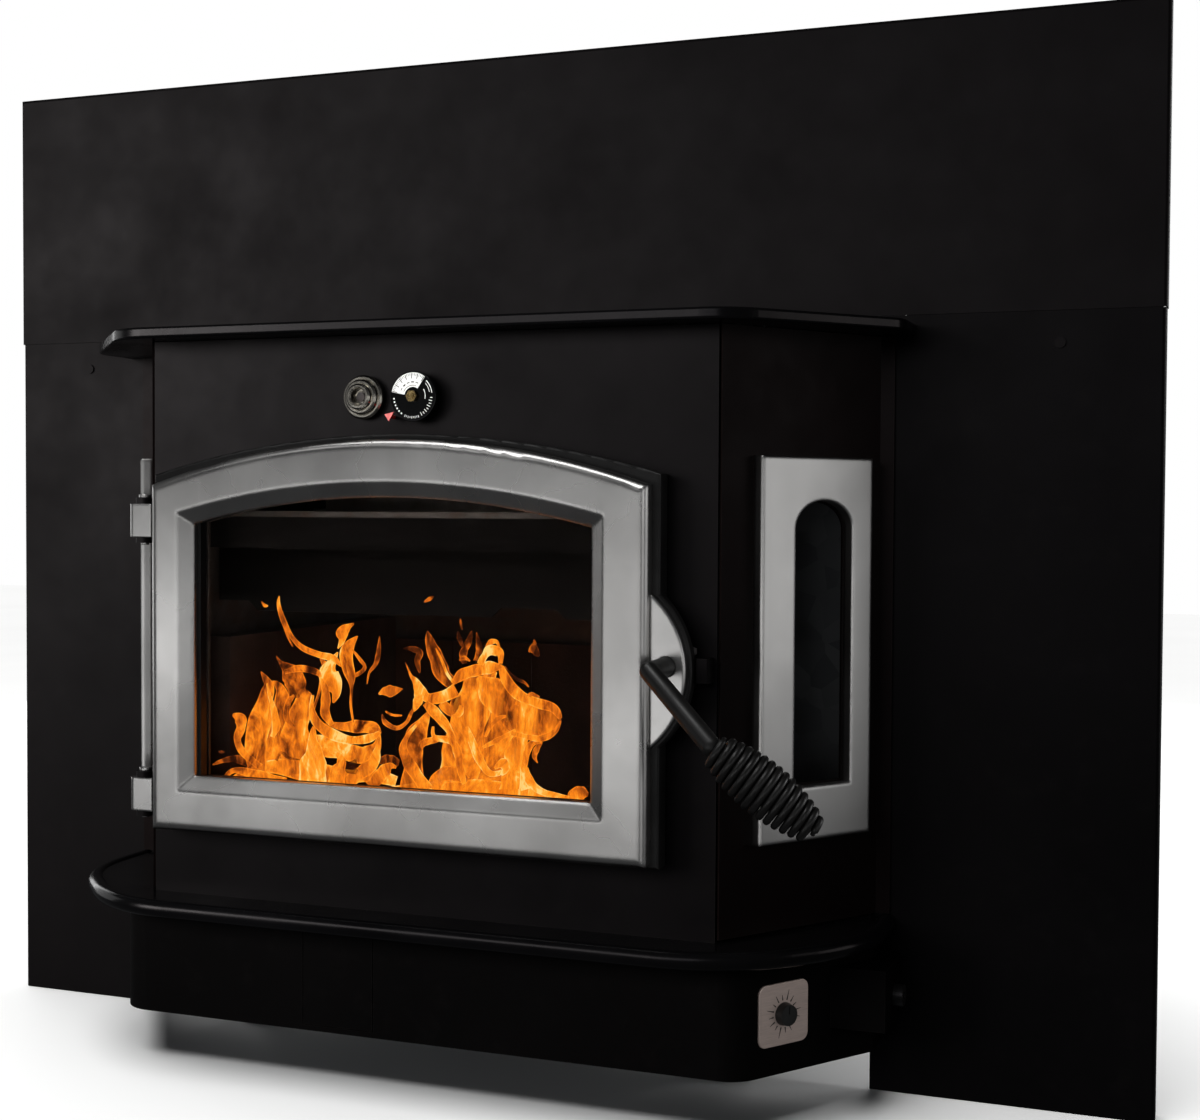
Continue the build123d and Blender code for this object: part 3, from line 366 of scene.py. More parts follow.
paint = stove_paint("satin_stove_paint")
paint_panel = stove_paint("satin_panel_paint", base=(0.0044, 0.0037, 0.0040), rough=0.50, spec=0.11, wear=0.04)
# darker copy of the panel paint for the right panel: painted shade for the shadow the stove body casts across that
# panel
shaded_panel_paint = stove_paint("panel_paint_painted_shade", base=(0.0028, 0.0026, 0.0030), rough=0.52, spec=0.09, wear=0.04)
# darker, less glossy copy of the stove paint for the base: painted shade, because the lower parts get less light
shaded_base_paint = stove_paint("matt_base_paint_painted_shade", base=(0.0026, 0.0024, 0.0024), rough=0.56, spec=0.05, wear=0.3)
# redder, lighter copy of the stove paint for the slanted side casings: painted warm light on those faces
warm_lit_side_paint = stove_paint("satin_side_paint_painted_warm_light", base=(0.0062, 0.0030, 0.0027), rough=0.44, spec=0.08)
gloss = gloss_enamel("gloss_shelf_enamel", base=(0.004, 0.004, 0.0045), rough=0.20, spec=0.16)
nickel_door = nickel("satin_nickel_door", edge_r=0.006)
nickel_trim = nickel("satin_nickel_trim", cloud=5.0, amount=0.30, rough=0.30, edge_r=0.005)
nickel_small = nickel("satin_nickel_small", cloud=22.0, amount=0.25, rough=0.28, edge_r=0.003)
chrome = turned_metal("turned_chrome", (-62, -190, 725.5), (0.72, 0.68, 0.60), 0.17)
brass = turned_metal("turned_brass", (0, -190, 725.0), (0.78, 0.56, 0.24), 0.22)
steel = plate_steel("sooted_plate_steel")
steel_clean = plate_steel("bare_bar_steel", (0.35, 0.34, 0.33), 0.2)
galv = galvanised("galvanised_sheet")
iron = cast_iron("black_cast_iron")
iron_dark = cast_iron("sooted_cast_iron", base=(0.0035, 0.0032, 0.0032), rough=0.7, spec=0.04)
iron_door = cast_iron("black_door_casting", base=(0.009, 0.0085, 0.0085), rough=0.44, coarse=0.7)
iron_rod = cast_iron("blackened_bar", base=(0.010, 0.0095, 0.0092), rough=0.38, coarse=0.35, spec=0.45)
brick = firebrick("sooted_firebrick")
comb = ceramic_comb("coated_honeycomb")
gasket = rope("glass_fibre_rope")
glass = ceramic_glass("clear_ceramic_glass")
black_plastic = plastic("matte_black_plastic")
dial_black = gloss_enamel("dial_black", base=(0.004, 0.004, 0.0045), rough=0.14, spec=0.3)
dial_white = enamel_flat("dial_white", (0.80, 0.80, 0.77))
red = enamel_flat("pointer_red", (0.62, 0.03, 0.02), 0.3)
beige = brushed_plate("satin_control_plate")
ink = enamel_flat("tick_ink", (0.02, 0.016, 0.014), 0.5)

ASSIGN = {
    "surround_top_panel": paint_panel, "surround_left_panel": paint_panel, "surround_right_panel": shaded_panel_paint,
    "surround_joiners": paint_panel, "front_plate": paint, "casing_left": warm_lit_side_paint, "casing_right": warm_lit_side_paint,
    "jacket_wrap": galv, "jacket_top": galv, "top_shelf": gloss, "hearth_ledge": gloss,
    "side_trim_left": nickel_trim, "side_trim_right": nickel_trim,
    "firebox_wall_left": steel, "firebox_wall_right": steel, "firebox_wall_back": steel, "firebox_floor": steel,
    "firebox_roof": steel, "flue_collar": iron, "brick_floor": brick, "brick_left": brick, "brick_right": brick,
    "brick_back": brick, "smoke_shelf": steel, "combustor_can": steel_clean, "combustor_block": comb,
    "flame_shield": iron_dark, "airwash_channel": iron_dark, "damper_plate": iron, "damper_shaft": steel_clean,
    "damper_pull_rod": steel_clean, "damper_knob": chrome, "thermo_dial": dial_black, "thermo_scale": dial_white,
    "thermo_stem": brass, "thermo_pointer": red, "door_plate": iron_door, "door_trim": nickel_door,
    "door_glass": glass, "door_gasket": gasket, "glass_retainer": steel, "hinge_lugs": nickel_small,
    "latch_ear": nickel_small, "handle_rod": iron_rod, "spring_grip": iron_rod, "latch_cam": steel_clean,
    "hinge_brackets": paint, "hinge_pins": nickel_small, "latch_keeper": paint, "base_skirt": shaded_base_paint,
    "base_cover": shaded_base_paint, "base_pan": galv, "levelling_feet": steel_clean, "control_plate": beige,
    "control_knob": black_plastic, "blower_motor": iron, "blower_wheels": galv, "blower_housings": galv,
    "electrical_box": shaded_base_paint, "cord_gland": black_plastic,
}
for name, ob in nodes.items():
    ob.data.materials.clear()
    ob.data.materials.append(ASSIGN[name])


def add_mesh(name, verts, faces, mat, body, smooth=True):
    me = bpy.data.meshes.new(name)
    me.from_pydata([tuple(v) for v in verts], [], faces)
    me.validate()
    me.update()
    ob = bpy.data.objects.new(name, me)
    bpy.context.scene.collection.objects.link(ob)
    me.materials.append(mat)
    for p in me.polygons:
        p.use_smooth = smooth
    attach(ob, body)
    return ob


# ---------------------------------------------------------------- the wound wire grip
HT = math.radians(-38.5)


def handle_point(s, y):
    return Vector((280 + s * math.cos(HT), y, 458 + s * math.sin(HT)))


g0, g1 = handle_point(97, -308), handle_point(216, -291)
axis = (g1 - g0).normalized()
length = (g1 - g0).length
side = axis.cross(Vector((0, 1, 0))).normalized()
other = axis.cross(side)


def barrel(t):
    # radius of the wire's centre line along the grip, 0 at the arm and 1 at the free end
    return 10.6 + 12.4 * (math.sin(math.pi * min(1.0, 0.04 + 0.93 * t)) ** 0.85) - 1.8 * t


def tube(points, radii, sides=14, cap=True):
    """A closed tube along points, with rotation-minimising rings."""
    verts, faces = [], []
    n = len(points)
    t0 = (points[1] - points[0]).normalized()
    ref = Vector((0, 0, 1)) if abs(t0.z) < 0.9 else Vector((1, 0, 0))
    u = t0.cross(ref).normalized()
    for i in range(n):
        if i == 0:
            t = t0
        elif i == n - 1:
            t = (points[i] - points[i - 1]).normalized()
        else:
            t = (points[i + 1] - points[i - 1]).normalized()
        u = (u - t * u.dot(t)).normalized()
        v = t.cross(u)
        for k in range(sides):
            a = 2 * math.pi * k / sides
            verts.append(points[i] + (u * math.cos(a) + v * math.sin(a)) * radii[i])
    for i in range(n - 1):
        for k in range(sides):
            k2 = (k + 1) % sides
            faces.append((i * sides + k, i * sides + k2, (i + 1) * sides + k2, (i + 1) * sides + k))
    if cap:
        faces.append(tuple(reversed(range(sides))))
        faces.append(tuple(range((n - 1) * sides, n * sides)))
    return verts, faces


turns, per = 14.3, 36
steps = int(turns * per)
wire, rad = [], []
for i in range(steps + 1):
    t = i / steps
    a = 2 * math.pi * turns * t
    r = barrel(t)
    if t > 0.965:
        r *= 1 - 0.35 * (t - 0.965) / 0.035
    c = g0 + axis * (5.0 + t * (length - 7.0))
    p = c + side * (math.cos(a) * r) + other * (math.sin(a) * r)
    wire.append(W(*p))
    rad.append(0.0036 if 0.004 < t < 0.996 else 0.0022)
v, f = tube(wire, rad)
grip = add_mesh("wire_grip", v, f, iron_rod, "handle")
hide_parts("spring_grip")

# ---------------------------------------------------------------- dial ticks
DIAL = (0.0, -193.4, 725.0)


def bar(p, q, w, h, y0):
    """A thin upright bar on a plate facing -Y, from p to q (x, z in mm)."""
    d = Vector((q[0] - p[0], q[1] - p[1])).normalized()
    n = Vector((-d.y, d.x)) * (w / 2)
    c = [(p[0] + n.x, p[1] + n.y), (q[0] + n.x, q[1] + n.y), (q[0] - n.x, q[1] - n.y), (p[0] - n.x, p[1] - n.y)]
    vs = [W(x, y0, z) for x, z in c] + [W(x, y0 - h, z) for x, z in c]
    fs = [(0, 1, 2, 3), (7, 6, 5, 4), (0, 4, 5, 1), (1, 5, 6, 2), (2, 6, 7, 3), (3, 7, 4, 0)]
    return vs, fs


def join(parts):
    vs, fs = [], []
    for v, f in parts:
        o = len(vs)
        vs += list(v)
        fs += [tuple(i + o for i in g) for g in f]
    return vs, fs


def polar(r, deg):
    a = math.radians(deg)
    return DIAL[0] + r * math.cos(a), DIAL[2] + r * math.sin(a)


def arc_bars(r, a0, a1, w, h, y0, step=3.0):
    n = max(1, int(abs(a1 - a0) / step))
    return [bar(polar(r, a0 + (a1 - a0) * k / n), polar(r, a0 + (a1 - a0) * (k + 1) / n), w, h, y0) for k in range(n)]


ticks_white, ticks_black = [], []
SCALE_A0, SCALE_A1 = 57.0, 167.0
for i in range(25):
    a = SCALE_A0 + i * (SCALE_A1 - SCALE_A0) / 24.0
    major = i % 4 == 0
    ticks_black.append(bar(polar(18.2 if major else 20.9, a), polar(23.6, a), 0.8 if major else 0.45, 0.15, DIAL[1]))
for i in range(5):
    a0 = 64 + i * 20
    ticks_black += arc_bars(14.6, a0, a0 + 12, 0.8 + 0.5 * (i % 2), 0.15, DIAL[1])
ticks_black += arc_bars(11.2, 70, 154, 0.5, 0.15, DIAL[1])
FACE_Y = DIAL[1] + 0.4
ticks_white += arc_bars(22.0, 8, 46, 0.8, 0.15, FACE_Y) + arc_bars(19.4, 12, 42, 0.5, 0.15, FACE_Y)
ticks_white += arc_bars(14.2, -12, 30, 0.7, 0.15, FACE_Y)
for i in range(8):
    a = -62 + i * 8.2
    ticks_white.append(bar(polar(19.8 if i % 2 else 18.6, a), polar(22.6, a), 0.7, 0.15, FACE_Y))
for i in range(6):
    a = 184 + i * 9.5
    ticks_white += arc_bars(21.6, a, a + 4.0, 1.6, 0.15, FACE_Y)
for i in range(9):
    a = 246 + i * 5.2
    ticks_white.append(bar(polar(20.6, a), polar(22.4 if i % 2 else 23.0, a), 0.55, 0.15, FACE_Y))
v, f = join(ticks_black)
add_mesh("dial_ticks_black", v, f, ink, "thermometer", False)
v, f = join(ticks_white)
add_mesh("dial_ticks_white", v, f, dial_white, "thermometer", False)

# ---------------------------------------------------------------- radial ticks on the blower control plate
FACE_T = math.radians(55.3)
FACE_C, FACE_S = math.cos(FACE_T), math.sin(FACE_T)
CTRL = (56.3, 113.0)


def on_face(s, z, off):
    """A point s along the base's right slanted face from its front corner, off proud of the face."""
    return W(350.0 + s * FACE_C + off * FACE_S, -188.0 + s * FACE_S - off * FACE_C, z)


parts = []
lengths = (7.5, 3.5, 5.2, 9.0, 4.0, 6.4, 3.2, 8.2, 4.6, 6.0, 3.6, 9.6, 4.4, 5.6, 3.4, 7.0)
for i, ln in enumerate(lengths):
    a = 2 * math.pi * i / len(lengths) + 0.12
    r0, r1 = 13.6, 15.0 + ln
    w0, w1 = 1.5, 0.35
    d = Vector((math.cos(a), math.sin(a)))
    n = Vector((-d.y, d.x))
    c = [(d * r0 + n * w0 / 2), (d * r1 + n * w1 / 2), (d * r1 - n * w1 / 2), (d * r0 - n * w0 / 2)]
    o0, o1 = 2.0, 2.15
    vs = [on_face(CTRL[0] + p.x, CTRL[1] + p.y, o0) for p in c] + [on_face(CTRL[0] + p.x, CTRL[1] + p.y, o1) for p in c]
    fs = [(0, 1, 2, 3), (7, 6, 5, 4), (0, 4, 5, 1), (1, 5, 6, 2), (2, 6, 7, 3), (3, 7, 4, 0)]
    parts.append((vs, fs))
v, f = join(parts)
add_mesh("control_ticks", v, f, ink, "stove", False)

# ---------------------------------------------------------------- flames
# Each tongue is a ribbon: (x, y, width) along its spine in a working view of the door mouth, then
# its heat (0 dull red, 1 yellow) and its depth behind the glass.
FLAMES = [
    # left group
    ([(262, 740, 60), (250, 640, 76), (268, 540, 84), (290, 455, 66), (302, 405, 40), (290, 378, 22), (272, 350, 4)], 0.72, 2),
    ([(330, 740, 70), (325, 640, 80), (335, 560, 84), (352, 480, 62), (350, 425, 40), (330, 396, 20), (308, 388, 5)], 0.60, 5),
    ([(315, 600, 16), (330, 560, 34), (322, 500, 22), (305, 440, 14), (295, 395, 6)], 0.95, 0),
    ([(270, 715, 30), (205, 660, 26), (182, 610, 26), (196, 565, 40), (192, 530, 46), (164, 514, 8)], 0.78, 1),
    ([(88, 706, 5), (130, 690, 18), (180, 684, 28), (240, 706, 30)], 0.45, 3),
    ([(135, 752, 12), (170, 728, 24), (230, 738, 34), (300, 758, 40), (370, 770, 30)], 0.88, 0),
    ([(150, 770, 22), (260, 720, 44), (360, 715, 60), (470, 735, 80), (590, 752, 60), (700, 748, 56), (790, 770, 40)], 0.86, 4),
    ([(420, 740, 120), (405, 650, 112), (405, 570, 100), (425, 500, 86), (440, 445, 60), (455, 425, 30)], 0.74, 4),
    ([(395, 560, 14), (370, 520, 26), (376, 470, 22), (400, 440, 10)], 0.55, 1),
    ([(400, 450, 40), (405, 405, 84), (395, 370, 86), (372, 338, 46), (350, 318, 18), (330, 290, 4)], 0.42, 3),
    ([(362, 352, 20), (420, 338, 26), (480, 350, 22), (500, 375, 12), (494, 430, 12), (470, 500, 10)], 0.52, 2),
    ([(580, 330, 8), (548, 300, 24), (490, 284, 24), (430, 258, 22), (388, 214, 20), (356, 150, 20), (340, 95, 14), (342, 60, 3)], 0.66, 1),
    ([(395, 255, 4), (376, 220, 8), (362, 180, 8), (348, 140, 4)], 0.55, 0),
    ([(548, 470, 6), (560, 430, 44), (545, 390, 72), (530, 350, 64), (545, 312, 36), (566, 276, 6)], 0.97, 2),
    ([(500, 300, 10), (520, 330, 26), (522, 360, 30), (500, 390, 10)], 0.60, 3),
    ([(545, 555, 18), (518, 510, 34), (520, 460, 40), (516, 410, 26), (498, 372, 8)], 0.82, 1),
    ([(626, 545, 8), (616, 480, 10), (618, 420, 12), (616, 376, 34), (604, 330, 46), (598, 285, 46), (612, 248, 44), (642, 214, 4)], 0.80, 1),
    ([(566, 262, 6), (582, 232, 26), (584, 200, 44), (604, 180, 30), (628, 166, 5)], 0.84, 2),
    ([(630, 366, 16), (660, 348, 14), (668, 328, 14), (648, 300, 14), (622, 266, 4)], 0.70, 0),
    ([(678, 398, 3), (686, 355, 9), (712, 318, 18), (722, 270, 16), (726, 214, 3)], 0.40, 3),
    ([(722, 436, 5), (745, 426, 34), (775, 424, 40), (814, 416, 5)], 0.62, 1),
    ([(470, 440, 12), (466, 490, 22), (486, 545, 34), (545, 590, 40), (620, 612, 34), (690, 604, 34), (728, 580, 10)], 0.92, 0),
    ([(520, 545, 14), (580, 560, 28), (640, 560, 54), (700, 566, 46), (728, 590, 14)], 0.45, 4),
    ([(470, 620, 60), (540, 640, 80), (610, 660, 70), (670, 670, 66), (712, 640, 40), (726, 590, 8)], 0.80, 5),
    ([(600, 775, 50), (650, 740, 56), (700, 700, 44), (716, 650, 26), (726, 600, 6)], 0.84, 2),
    ([(470, 790, 110), (470, 720, 100), (476, 660, 70), (470, 610, 40), (474, 560, 10)], 0.90, 1),
    ([(560, 790, 60), (566, 735, 56), (580, 700, 40), (572, 672, 24), (548, 662, 8)], 0.95, 0),
    ([(330, 690, 12), (350, 660, 14), (380, 680, 12), (425, 688, 4)], 0.30, 0),
    ([(690, 790, 50), (735, 740, 50), (764, 712, 30), (790, 716, 10)], 0.80, 1),
    ([(735, 512, 6), (748, 545, 18), (790, 566, 16), (828, 545, 16), (848, 505, 12), (862, 476, 3)], 0.42, 2),
    ([(748, 502, 5), (775, 516, 10), (812, 518, 5)], 0.50, 1),
    # right group
    ([(850, 800, 90), (855, 720, 84), (850, 650, 84), (868, 590, 72), (896, 540, 44), (915, 500, 6)], 0.62, 4),
    ([(905, 800, 54), (866, 745, 50), (832, 690, 40), (816, 640, 30), (836, 590, 18), (880, 540, 8)], 0.86, 1),
    ([(1010, 800, 150), (1040, 700, 150), (1050, 610, 140), (1070, 520, 150), (1100, 440, 150), (1120, 385, 110), (1160, 340, 40)], 0.78, 6),
    ([(1130, 800, 160), (1150, 720, 150), (1180, 640, 140), (1160, 560, 130), (1140, 480, 120), (1130, 420, 80)], 0.70, 7),
    ([(1240, 800, 120), (1240, 720, 90), (1250, 660, 80), (1270, 610, 60), (1300, 590, 20)], 0.80, 4),
    ([(1100, 372, 20), (1150, 420, 110), (1220, 480, 130), (1300, 530, 140), (1360, 540, 126), (1400, 538, 70), (1420, 534, 10)], 0.72, 3),
    ([(1190, 330, 20), (1215, 390, 40), (1260, 440, 44), (1330, 470, 40), (1390, 490, 34), (1418, 530, 14)], 0.96, 1),
    ([(1230, 585, 16), (1290, 600, 22), (1345, 605, 26), (1395, 580, 20), (1418, 540, 8)], 0.98, 0),
    ([(1200, 334, 16), (1240, 372, 12), (1280, 392, 10), (1296, 410, 4)], 0.40, 2),
    ([(1290, 440, 6), (1310, 440, 22), (1338, 448, 6)], 0.66, 1),
    ([(1005, 396, 14), (1045, 360, 44), (1100, 344, 50), (1150, 334, 44), (1196, 332, 14)], 0.84, 1),
    ([(1110, 322, 26), (1126, 292, 30), (1150, 268, 40), (1186, 280, 30), (1188, 320, 16)], 0.90, 1),
    ([(1135, 262, 18), (1150, 238, 20), (1172, 236, 16), (1184, 256, 8)], 0.50, 3),
    ([(1010, 400, 44), (968, 362, 54), (944, 300, 62), (922, 248, 44), (908, 194, 4)], 0.52, 2),
    ([(1015, 398, 10), (985, 360, 12), (965, 310, 10), (940, 260, 6)], 0.80, 0),
    ([(1020, 420, 50), (968, 446, 52), (915, 452, 40), (884, 428, 40), (864, 388, 26), (846, 366, 12), (824, 314, 3)], 0.88, 1),
    ([(856, 504, 5), (866, 480, 26), (876, 446, 40), (868, 410, 24)], 0.92, 0),
    ([(900, 470, 26), (942, 512, 40), (982, 560, 36), (1004, 606, 22), (1012, 660, 10)], 0.94, 0),
    ([(960, 470, 26), (1000, 500, 50), (1020, 470, 40), (1030, 440, 12)], 0.60, 3),
    ([(1002, 520, 4), (1030, 510, 24), (1040, 480, 20)], 0.90, 0),
    ([(930, 560, 10), (936, 600, 18), (1000, 616, 26), (1024, 660, 34), (1034, 720, 30), (1050, 780, 16)], 0.92, 1),
    ([(880, 640, 16), (900, 620, 30), (960, 606, 16)], 0.80, 2),
    ([(930, 800, 60), (960, 750, 60), (1010, 740, 50), (1060, 770, 40)], 0.72, 2),
    ([(1060, 560, 12), (1080, 620, 30), (1110, 690, 30), (1150, 740, 26), (1210, 730, 20)], 0.90, 1),
    ([(1120, 640, 10), (1165, 618, 18), (1210, 594, 16), (1246, 572, 8)], 0.98, 0),
    ([(1130, 600, 8), (1150, 560, 16), (1180, 530, 18), (1210, 520, 8)], 0.92, 0),
    ([(1290, 800, 60), (1276, 745, 30), (1282, 690, 26), (1296, 640, 26), (1322, 618, 24), (1348, 622, 8)], 0.94, 1),
    ([(1330, 700, 4), (1318, 672, 18), (1330, 640, 22), (1346, 622, 8)], 0.66, 2),
    ([(1290, 716, 8), (1296, 760, 30), (1330, 800, 30), (1390, 824, 26), (1450, 836, 20)], 0.92, 0),
    ([(1452, 842, 12), (1470, 818, 50), (1500, 816, 50), (1524, 820, 14)], 0.78, 2),
    ([(770, 800, 24), (900, 800, 60), (1020, 806, 80), (1150, 814, 90), (1280, 826, 80), (1380, 846, 40), (1440, 852, 14)], 0.84, 5),
    ([(1165, 720, 10), (1196, 700, 34), (1206, 724, 30), (1190, 745, 10)], 1.0, 0),
    ([(1050, 320, 16), (1046, 280, 30), (1066, 236, 24), (1078, 194, 4)], 0.22, 3),
    ([(1096, 310, 22), (1106, 262, 24), (1096, 200, 4)], 0.30, 4),
    ([(1030, 306, 8), (1050, 298, 16), (1072, 310, 6)], 0.62, 1),
    ([(1046, 260, 6), (1030, 220, 18), (1026, 196, 5)], 0.18, 2),
    ([(1042, 190, 4), (1036, 165, 9), (1034, 146, 3)], 0.42, 1),
    ([(880, 356, 6), (870, 310, 26), (880, 276, 22), (846, 262, 18), (816, 262, 4)], 0.22, 3),
    ([(1296, 276, 4), (1312, 262, 30), (1330, 284, 20), (1338, 290, 4)], 0.50, 1),
    ([(1308, 268, 20), (1318, 244, 16), (1316, 226, 3)], 0.62, 1),
    ([(896, 84, 4), (914, 74, 16), (932, 62, 4)], 0.55, 1),
    ([(274, 82, 4), (288, 98, 12), (300, 98, 4)], 0.5, 1),
    ([(110, 655, 4), (122, 658, 11), (134, 656, 4)], 0.35, 1),
    ([(716, 690, 6), (760, 690, 50), (800, 700, 20)], 0.16, 7),
    ([(640, 700, 30), (610, 716, 40), (640, 735, 20)], 0.12, 1),
]


def spline(pts, per=9):
    """Catmull-Rom through the spine, with width."""
    out = []
    n = len(pts)
    for i in range(n - 1):
        p0, p1, p2, p3 = pts[max(i - 1, 0)], pts[i], pts[i + 1], pts[min(i + 2, n - 1)]
        for k in range(per):
            t = k / per
            out.append(tuple(
                0.5 * ((2 * b) + (c - a) * t + (2 * a - 5 * b + 4 * c - d) * t * t + (3 * b - a - 3 * c + d) * t ** 3)
                for a, b, c, d in zip(p0, p1, p2, p3)))
    out.append(pts[-1])
    return out


def flame_mesh():
    me = bpy.data.meshes.new("flames")
    verts, faces, edge_attr, heat_attr, tip_attr = [], [], [], [], []
    across = (-1.0, -0.9, -0.7, -0.4, 0.0, 0.4, 0.7, 0.9, 1.0)
    for idx, (spine, heat, layer) in enumerate(FLAMES):
        pts = spline(spine)
        n = len(pts)
        y_mm = -160.0 + layer * 4.2
        rows = []
        for i, (x, yy, w) in enumerate(pts):
            t = i / (n - 1)
            a, b = pts[max(i - 1, 0)], pts[min(i + 1, n - 1)]
            d = Vector((b[0] - a[0], b[1] - a[1]))
            d = d.normalized() if d.length > 1e-6 else Vector((0, -1))
            nn = Vector((-d.y, d.x))
            w = max(w, 1.2)
            wob = 1.0 + 0.10 * math.sin(9.0 * t + idx * 1.7) + 0.06 * math.sin(23.0 * t + idx)
            half = w * wob / 2
            ring_f, ring_b = [], []
            for u in across:
                cx, cy = x + nn.x * half * u, yy + nn.y * half * u
                px, py = 190 + cx / 3.8244, 580 + cy / 3.8244
                bulge = math.sqrt(max(0.0, 1 - u * u)) * min(2.2, half * 0.05)
                sway = 2.6 * math.sin(3.0 * t + idx * 0.9)
                for sign, ring in ((-1, ring_f), (1, ring_b)):
                    if abs(u) == 1.0 and sign == 1:
                        ring.append(ring_f[-1] if u > 0 or ring is ring_b else None)
                        continue
                    P = at_depth(px, py, max(-168.0, min(-124.5, y_mm + sway + sign * bulge)))
                    ring.append(len(verts))
                    verts.append(W(*P))
                    edge_attr.append(1.0 - abs(u))
                    heat_attr.append(heat)
                    tip_attr.append(t)
            # share the two edge points between the front and back skins
            ring_b[0], ring_b[-1] = ring_f[0], ring_f[-1]
            rows.append((ring_f, ring_b))
        for (f0, b0), (f1, b1) in zip(rows, rows[1:]):
            for k in range(len(across) - 1):
                faces.append((f0[k], f0[k + 1], f1[k + 1], f1[k]))
                faces.append((b0[k + 1], b0[k], b1[k], b1[k + 1]))
        for (fr, bk), flip in ((rows[0], False), (rows[-1], True)):
            loop = list(fr) + list(reversed(bk[1:-1]))
            faces.append(tuple(reversed(loop)) if not flip else tuple(loop))
    me.from_pydata([tuple(p) for p in verts], [], faces)
    for name, data in (("rim_share", edge_attr), ("glow", heat_attr), ("along_share", tip_attr)):
        at = me.attributes.new(name, "FLOAT", "POINT")
        at.data.foreach_set("value", data)
    me.update()
    return me


def flame_material():
    m = Mat("flame")
    m.nt.nodes.remove(m.b)
    get = {}
    for key in ("rim_share", "glow", "along_share"):
        a = m.n("ShaderNodeAttribute", attribute_name=key)
        get[key] = a.outputs["Fac"]
    flow = m.noise(26.0, 5, 0.62, 1.6, co=m.mapped((1.0, 1.0, 0.45)))
    fine = m.noise(95.0, 4, 0.6, 1.2, co=m.mapped((1.0, 1.0, 0.4)))
    rim = m.range(get["rim_share"], 0.0, 0.34, 1.0, 0.0)
    rim = m.math("MULTIPLY", rim, rim)
    h = m.math("ADD", m.math("MULTIPLY", get["glow"], 0.80), m.math("MULTIPLY", rim, 0.26))
    h = m.math("ADD", h, m.range(flow, 0.34, 0.66, -0.42, 0.34))
    h = m.math("ADD", h, m.range(fine, 0.34, 0.66, -0.16, 0.16), clamp=True)
    col = m.ramp(h, [
        (0.00, (0.030, 0.006, 0.002)), (0.20, (0.16, 0.030, 0.004)), (0.38, (0.50, 0.105, 0.008)),
        (0.60, (0.80, 0.200, 0.010)), (0.78, (0.92, 0.280, 0.014)), (0.92, (1.00, 0.400, 0.045)),
        (1.06, (1.00, 0.600, 0.180))])
    em = m.n("ShaderNodeEmission")
    em.inputs["Strength"].default_value = 1.22
    m.link(col, em.inputs["Color"])
    tr = m.n("ShaderNodeBsdfTransparent")
    solid = m.math("ADD", m.range(h, 0.1, 0.75, 0.42, 0.96), m.math("MULTIPLY", rim, 0.25), clamp=True)
    soft_end = m.range(get["rim_share"], 0.0, 0.05, 0.35, 1.0)
    fac = m.math("MULTIPLY", solid, soft_end, clamp=True)
    mix = m.n("ShaderNodeMixShader")
    m.link(fac, mix.inputs[0])
    m.link(tr.outputs[0], mix.inputs[1])
    m.link(em.outputs[0], mix.inputs[2])
    m.link(mix.outputs[0], m.out.inputs[0])
    return m.m


flames = bpy.data.objects.new("flames", flame_mesh())
bpy.context.scene.collection.objects.link(flames)
flames.data.materials.append(flame_material())
for p in flames.data.polygons:
    p.use_smooth = True
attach(flames, "stove")

# ---------------------------------------------------------------- floor, light, camera
sc = bpy.context.scene
floor_me = bpy.data.meshes.new("floor")
floor_me.from_pydata([(-9, -9, -0.0005), (9, -9, -0.0005), (9, 9, -0.0005), (-9, 9, -0.0005)], [], [(0, 1, 2, 3)])
floor = bpy.data.objects.new("floor", floor_me)
sc.collection.objects.link(floor)
fm = Mat("pale_floor")
fcol = fm.ramp(fm.noise(0.8, 3), [(0.3, (0.86, 0.86, 0.855)), (0.7, (0.90, 0.90, 0.895))])
floor_me.materials.append(fm.set(Base_Color=fcol, Roughness=0.75, Specular_IOR_Level=0.1))

world = bpy.data.worlds.new("studio")
sc.world = world
world.use_nodes = True
wn = world.node_tree
wn.nodes.clear()
wo = wn.nodes.new("ShaderNodeOutputWorld")
bg_cam, bg_env = wn.nodes.new("ShaderNodeBackground"), wn.nodes.new("ShaderNodeBackground")
bg_cam.inputs[0].default_value = (1, 1, 1, 1)
bg_cam.inputs[1].default_value = 1.0
bg_env.inputs[0].default_value = (0.95, 0.97, 1.0, 1)
bg_env.inputs[1].default_value = 0.05
lp = wn.nodes.new("ShaderNodeLightPath")
wm = wn.nodes.new("ShaderNodeMixShader")
wn.links.new(lp.outputs["Is Camera Ray"], wm.inputs[0])
wn.links.new(bg_env.outputs[0], wm.inputs[1])
wn.links.new(bg_cam.outputs[0], wm.inputs[2])
wn.links.new(wm.outputs[0], wo.inputs[0])


def softbox(name, place, target, size, power, colour=(1, 1, 1)):
    li = bpy.data.lights.new(name, "AREA")
    li.shape = "RECTANGLE"
    li.size, li.size_y = size
    li.energy = power
    li.color = colour
    ob = bpy.data.objects.new(name, li)
    sc.collection.objects.link(ob)
    ob.location = place
    ob.rotation_mode = "QUATERNION"
    ob.rotation_quaternion = (Vector(target) - Vector(place)).to_track_quat("-Z", "Y")
    return ob


def only(lamp, group):
    """The lamp reaches just these pieces."""
    coll = bpy.data.collections.new(lamp.name + "_receivers")
    for ob in group:
        coll.objects.link(ob)
    lamp.light_linking.receiver_collection = coll


BRIGHT = ["side_trim_left", "side_trim_right", "damper_knob", "thermo_dial", "thermo_scale", "thermo_stem",
          "thermo_pointer", "door_plate", "door_trim", "hinge_lugs", "hinge_pins", "latch_ear", "handle_rod",
          "control_plate", "control_knob"]
bright = [nodes[n] for n in BRIGHT] + [bpy.data.objects[n] for n in (
    "wire_grip", "dial_ticks_black", "dial_ticks_white", "control_ticks")]
JACKET = ("jacket_wrap", "jacket_top")
dark = [ob for n, ob in nodes.items() if n not in BRIGHT and n != "spring_grip" and n not in JACKET]

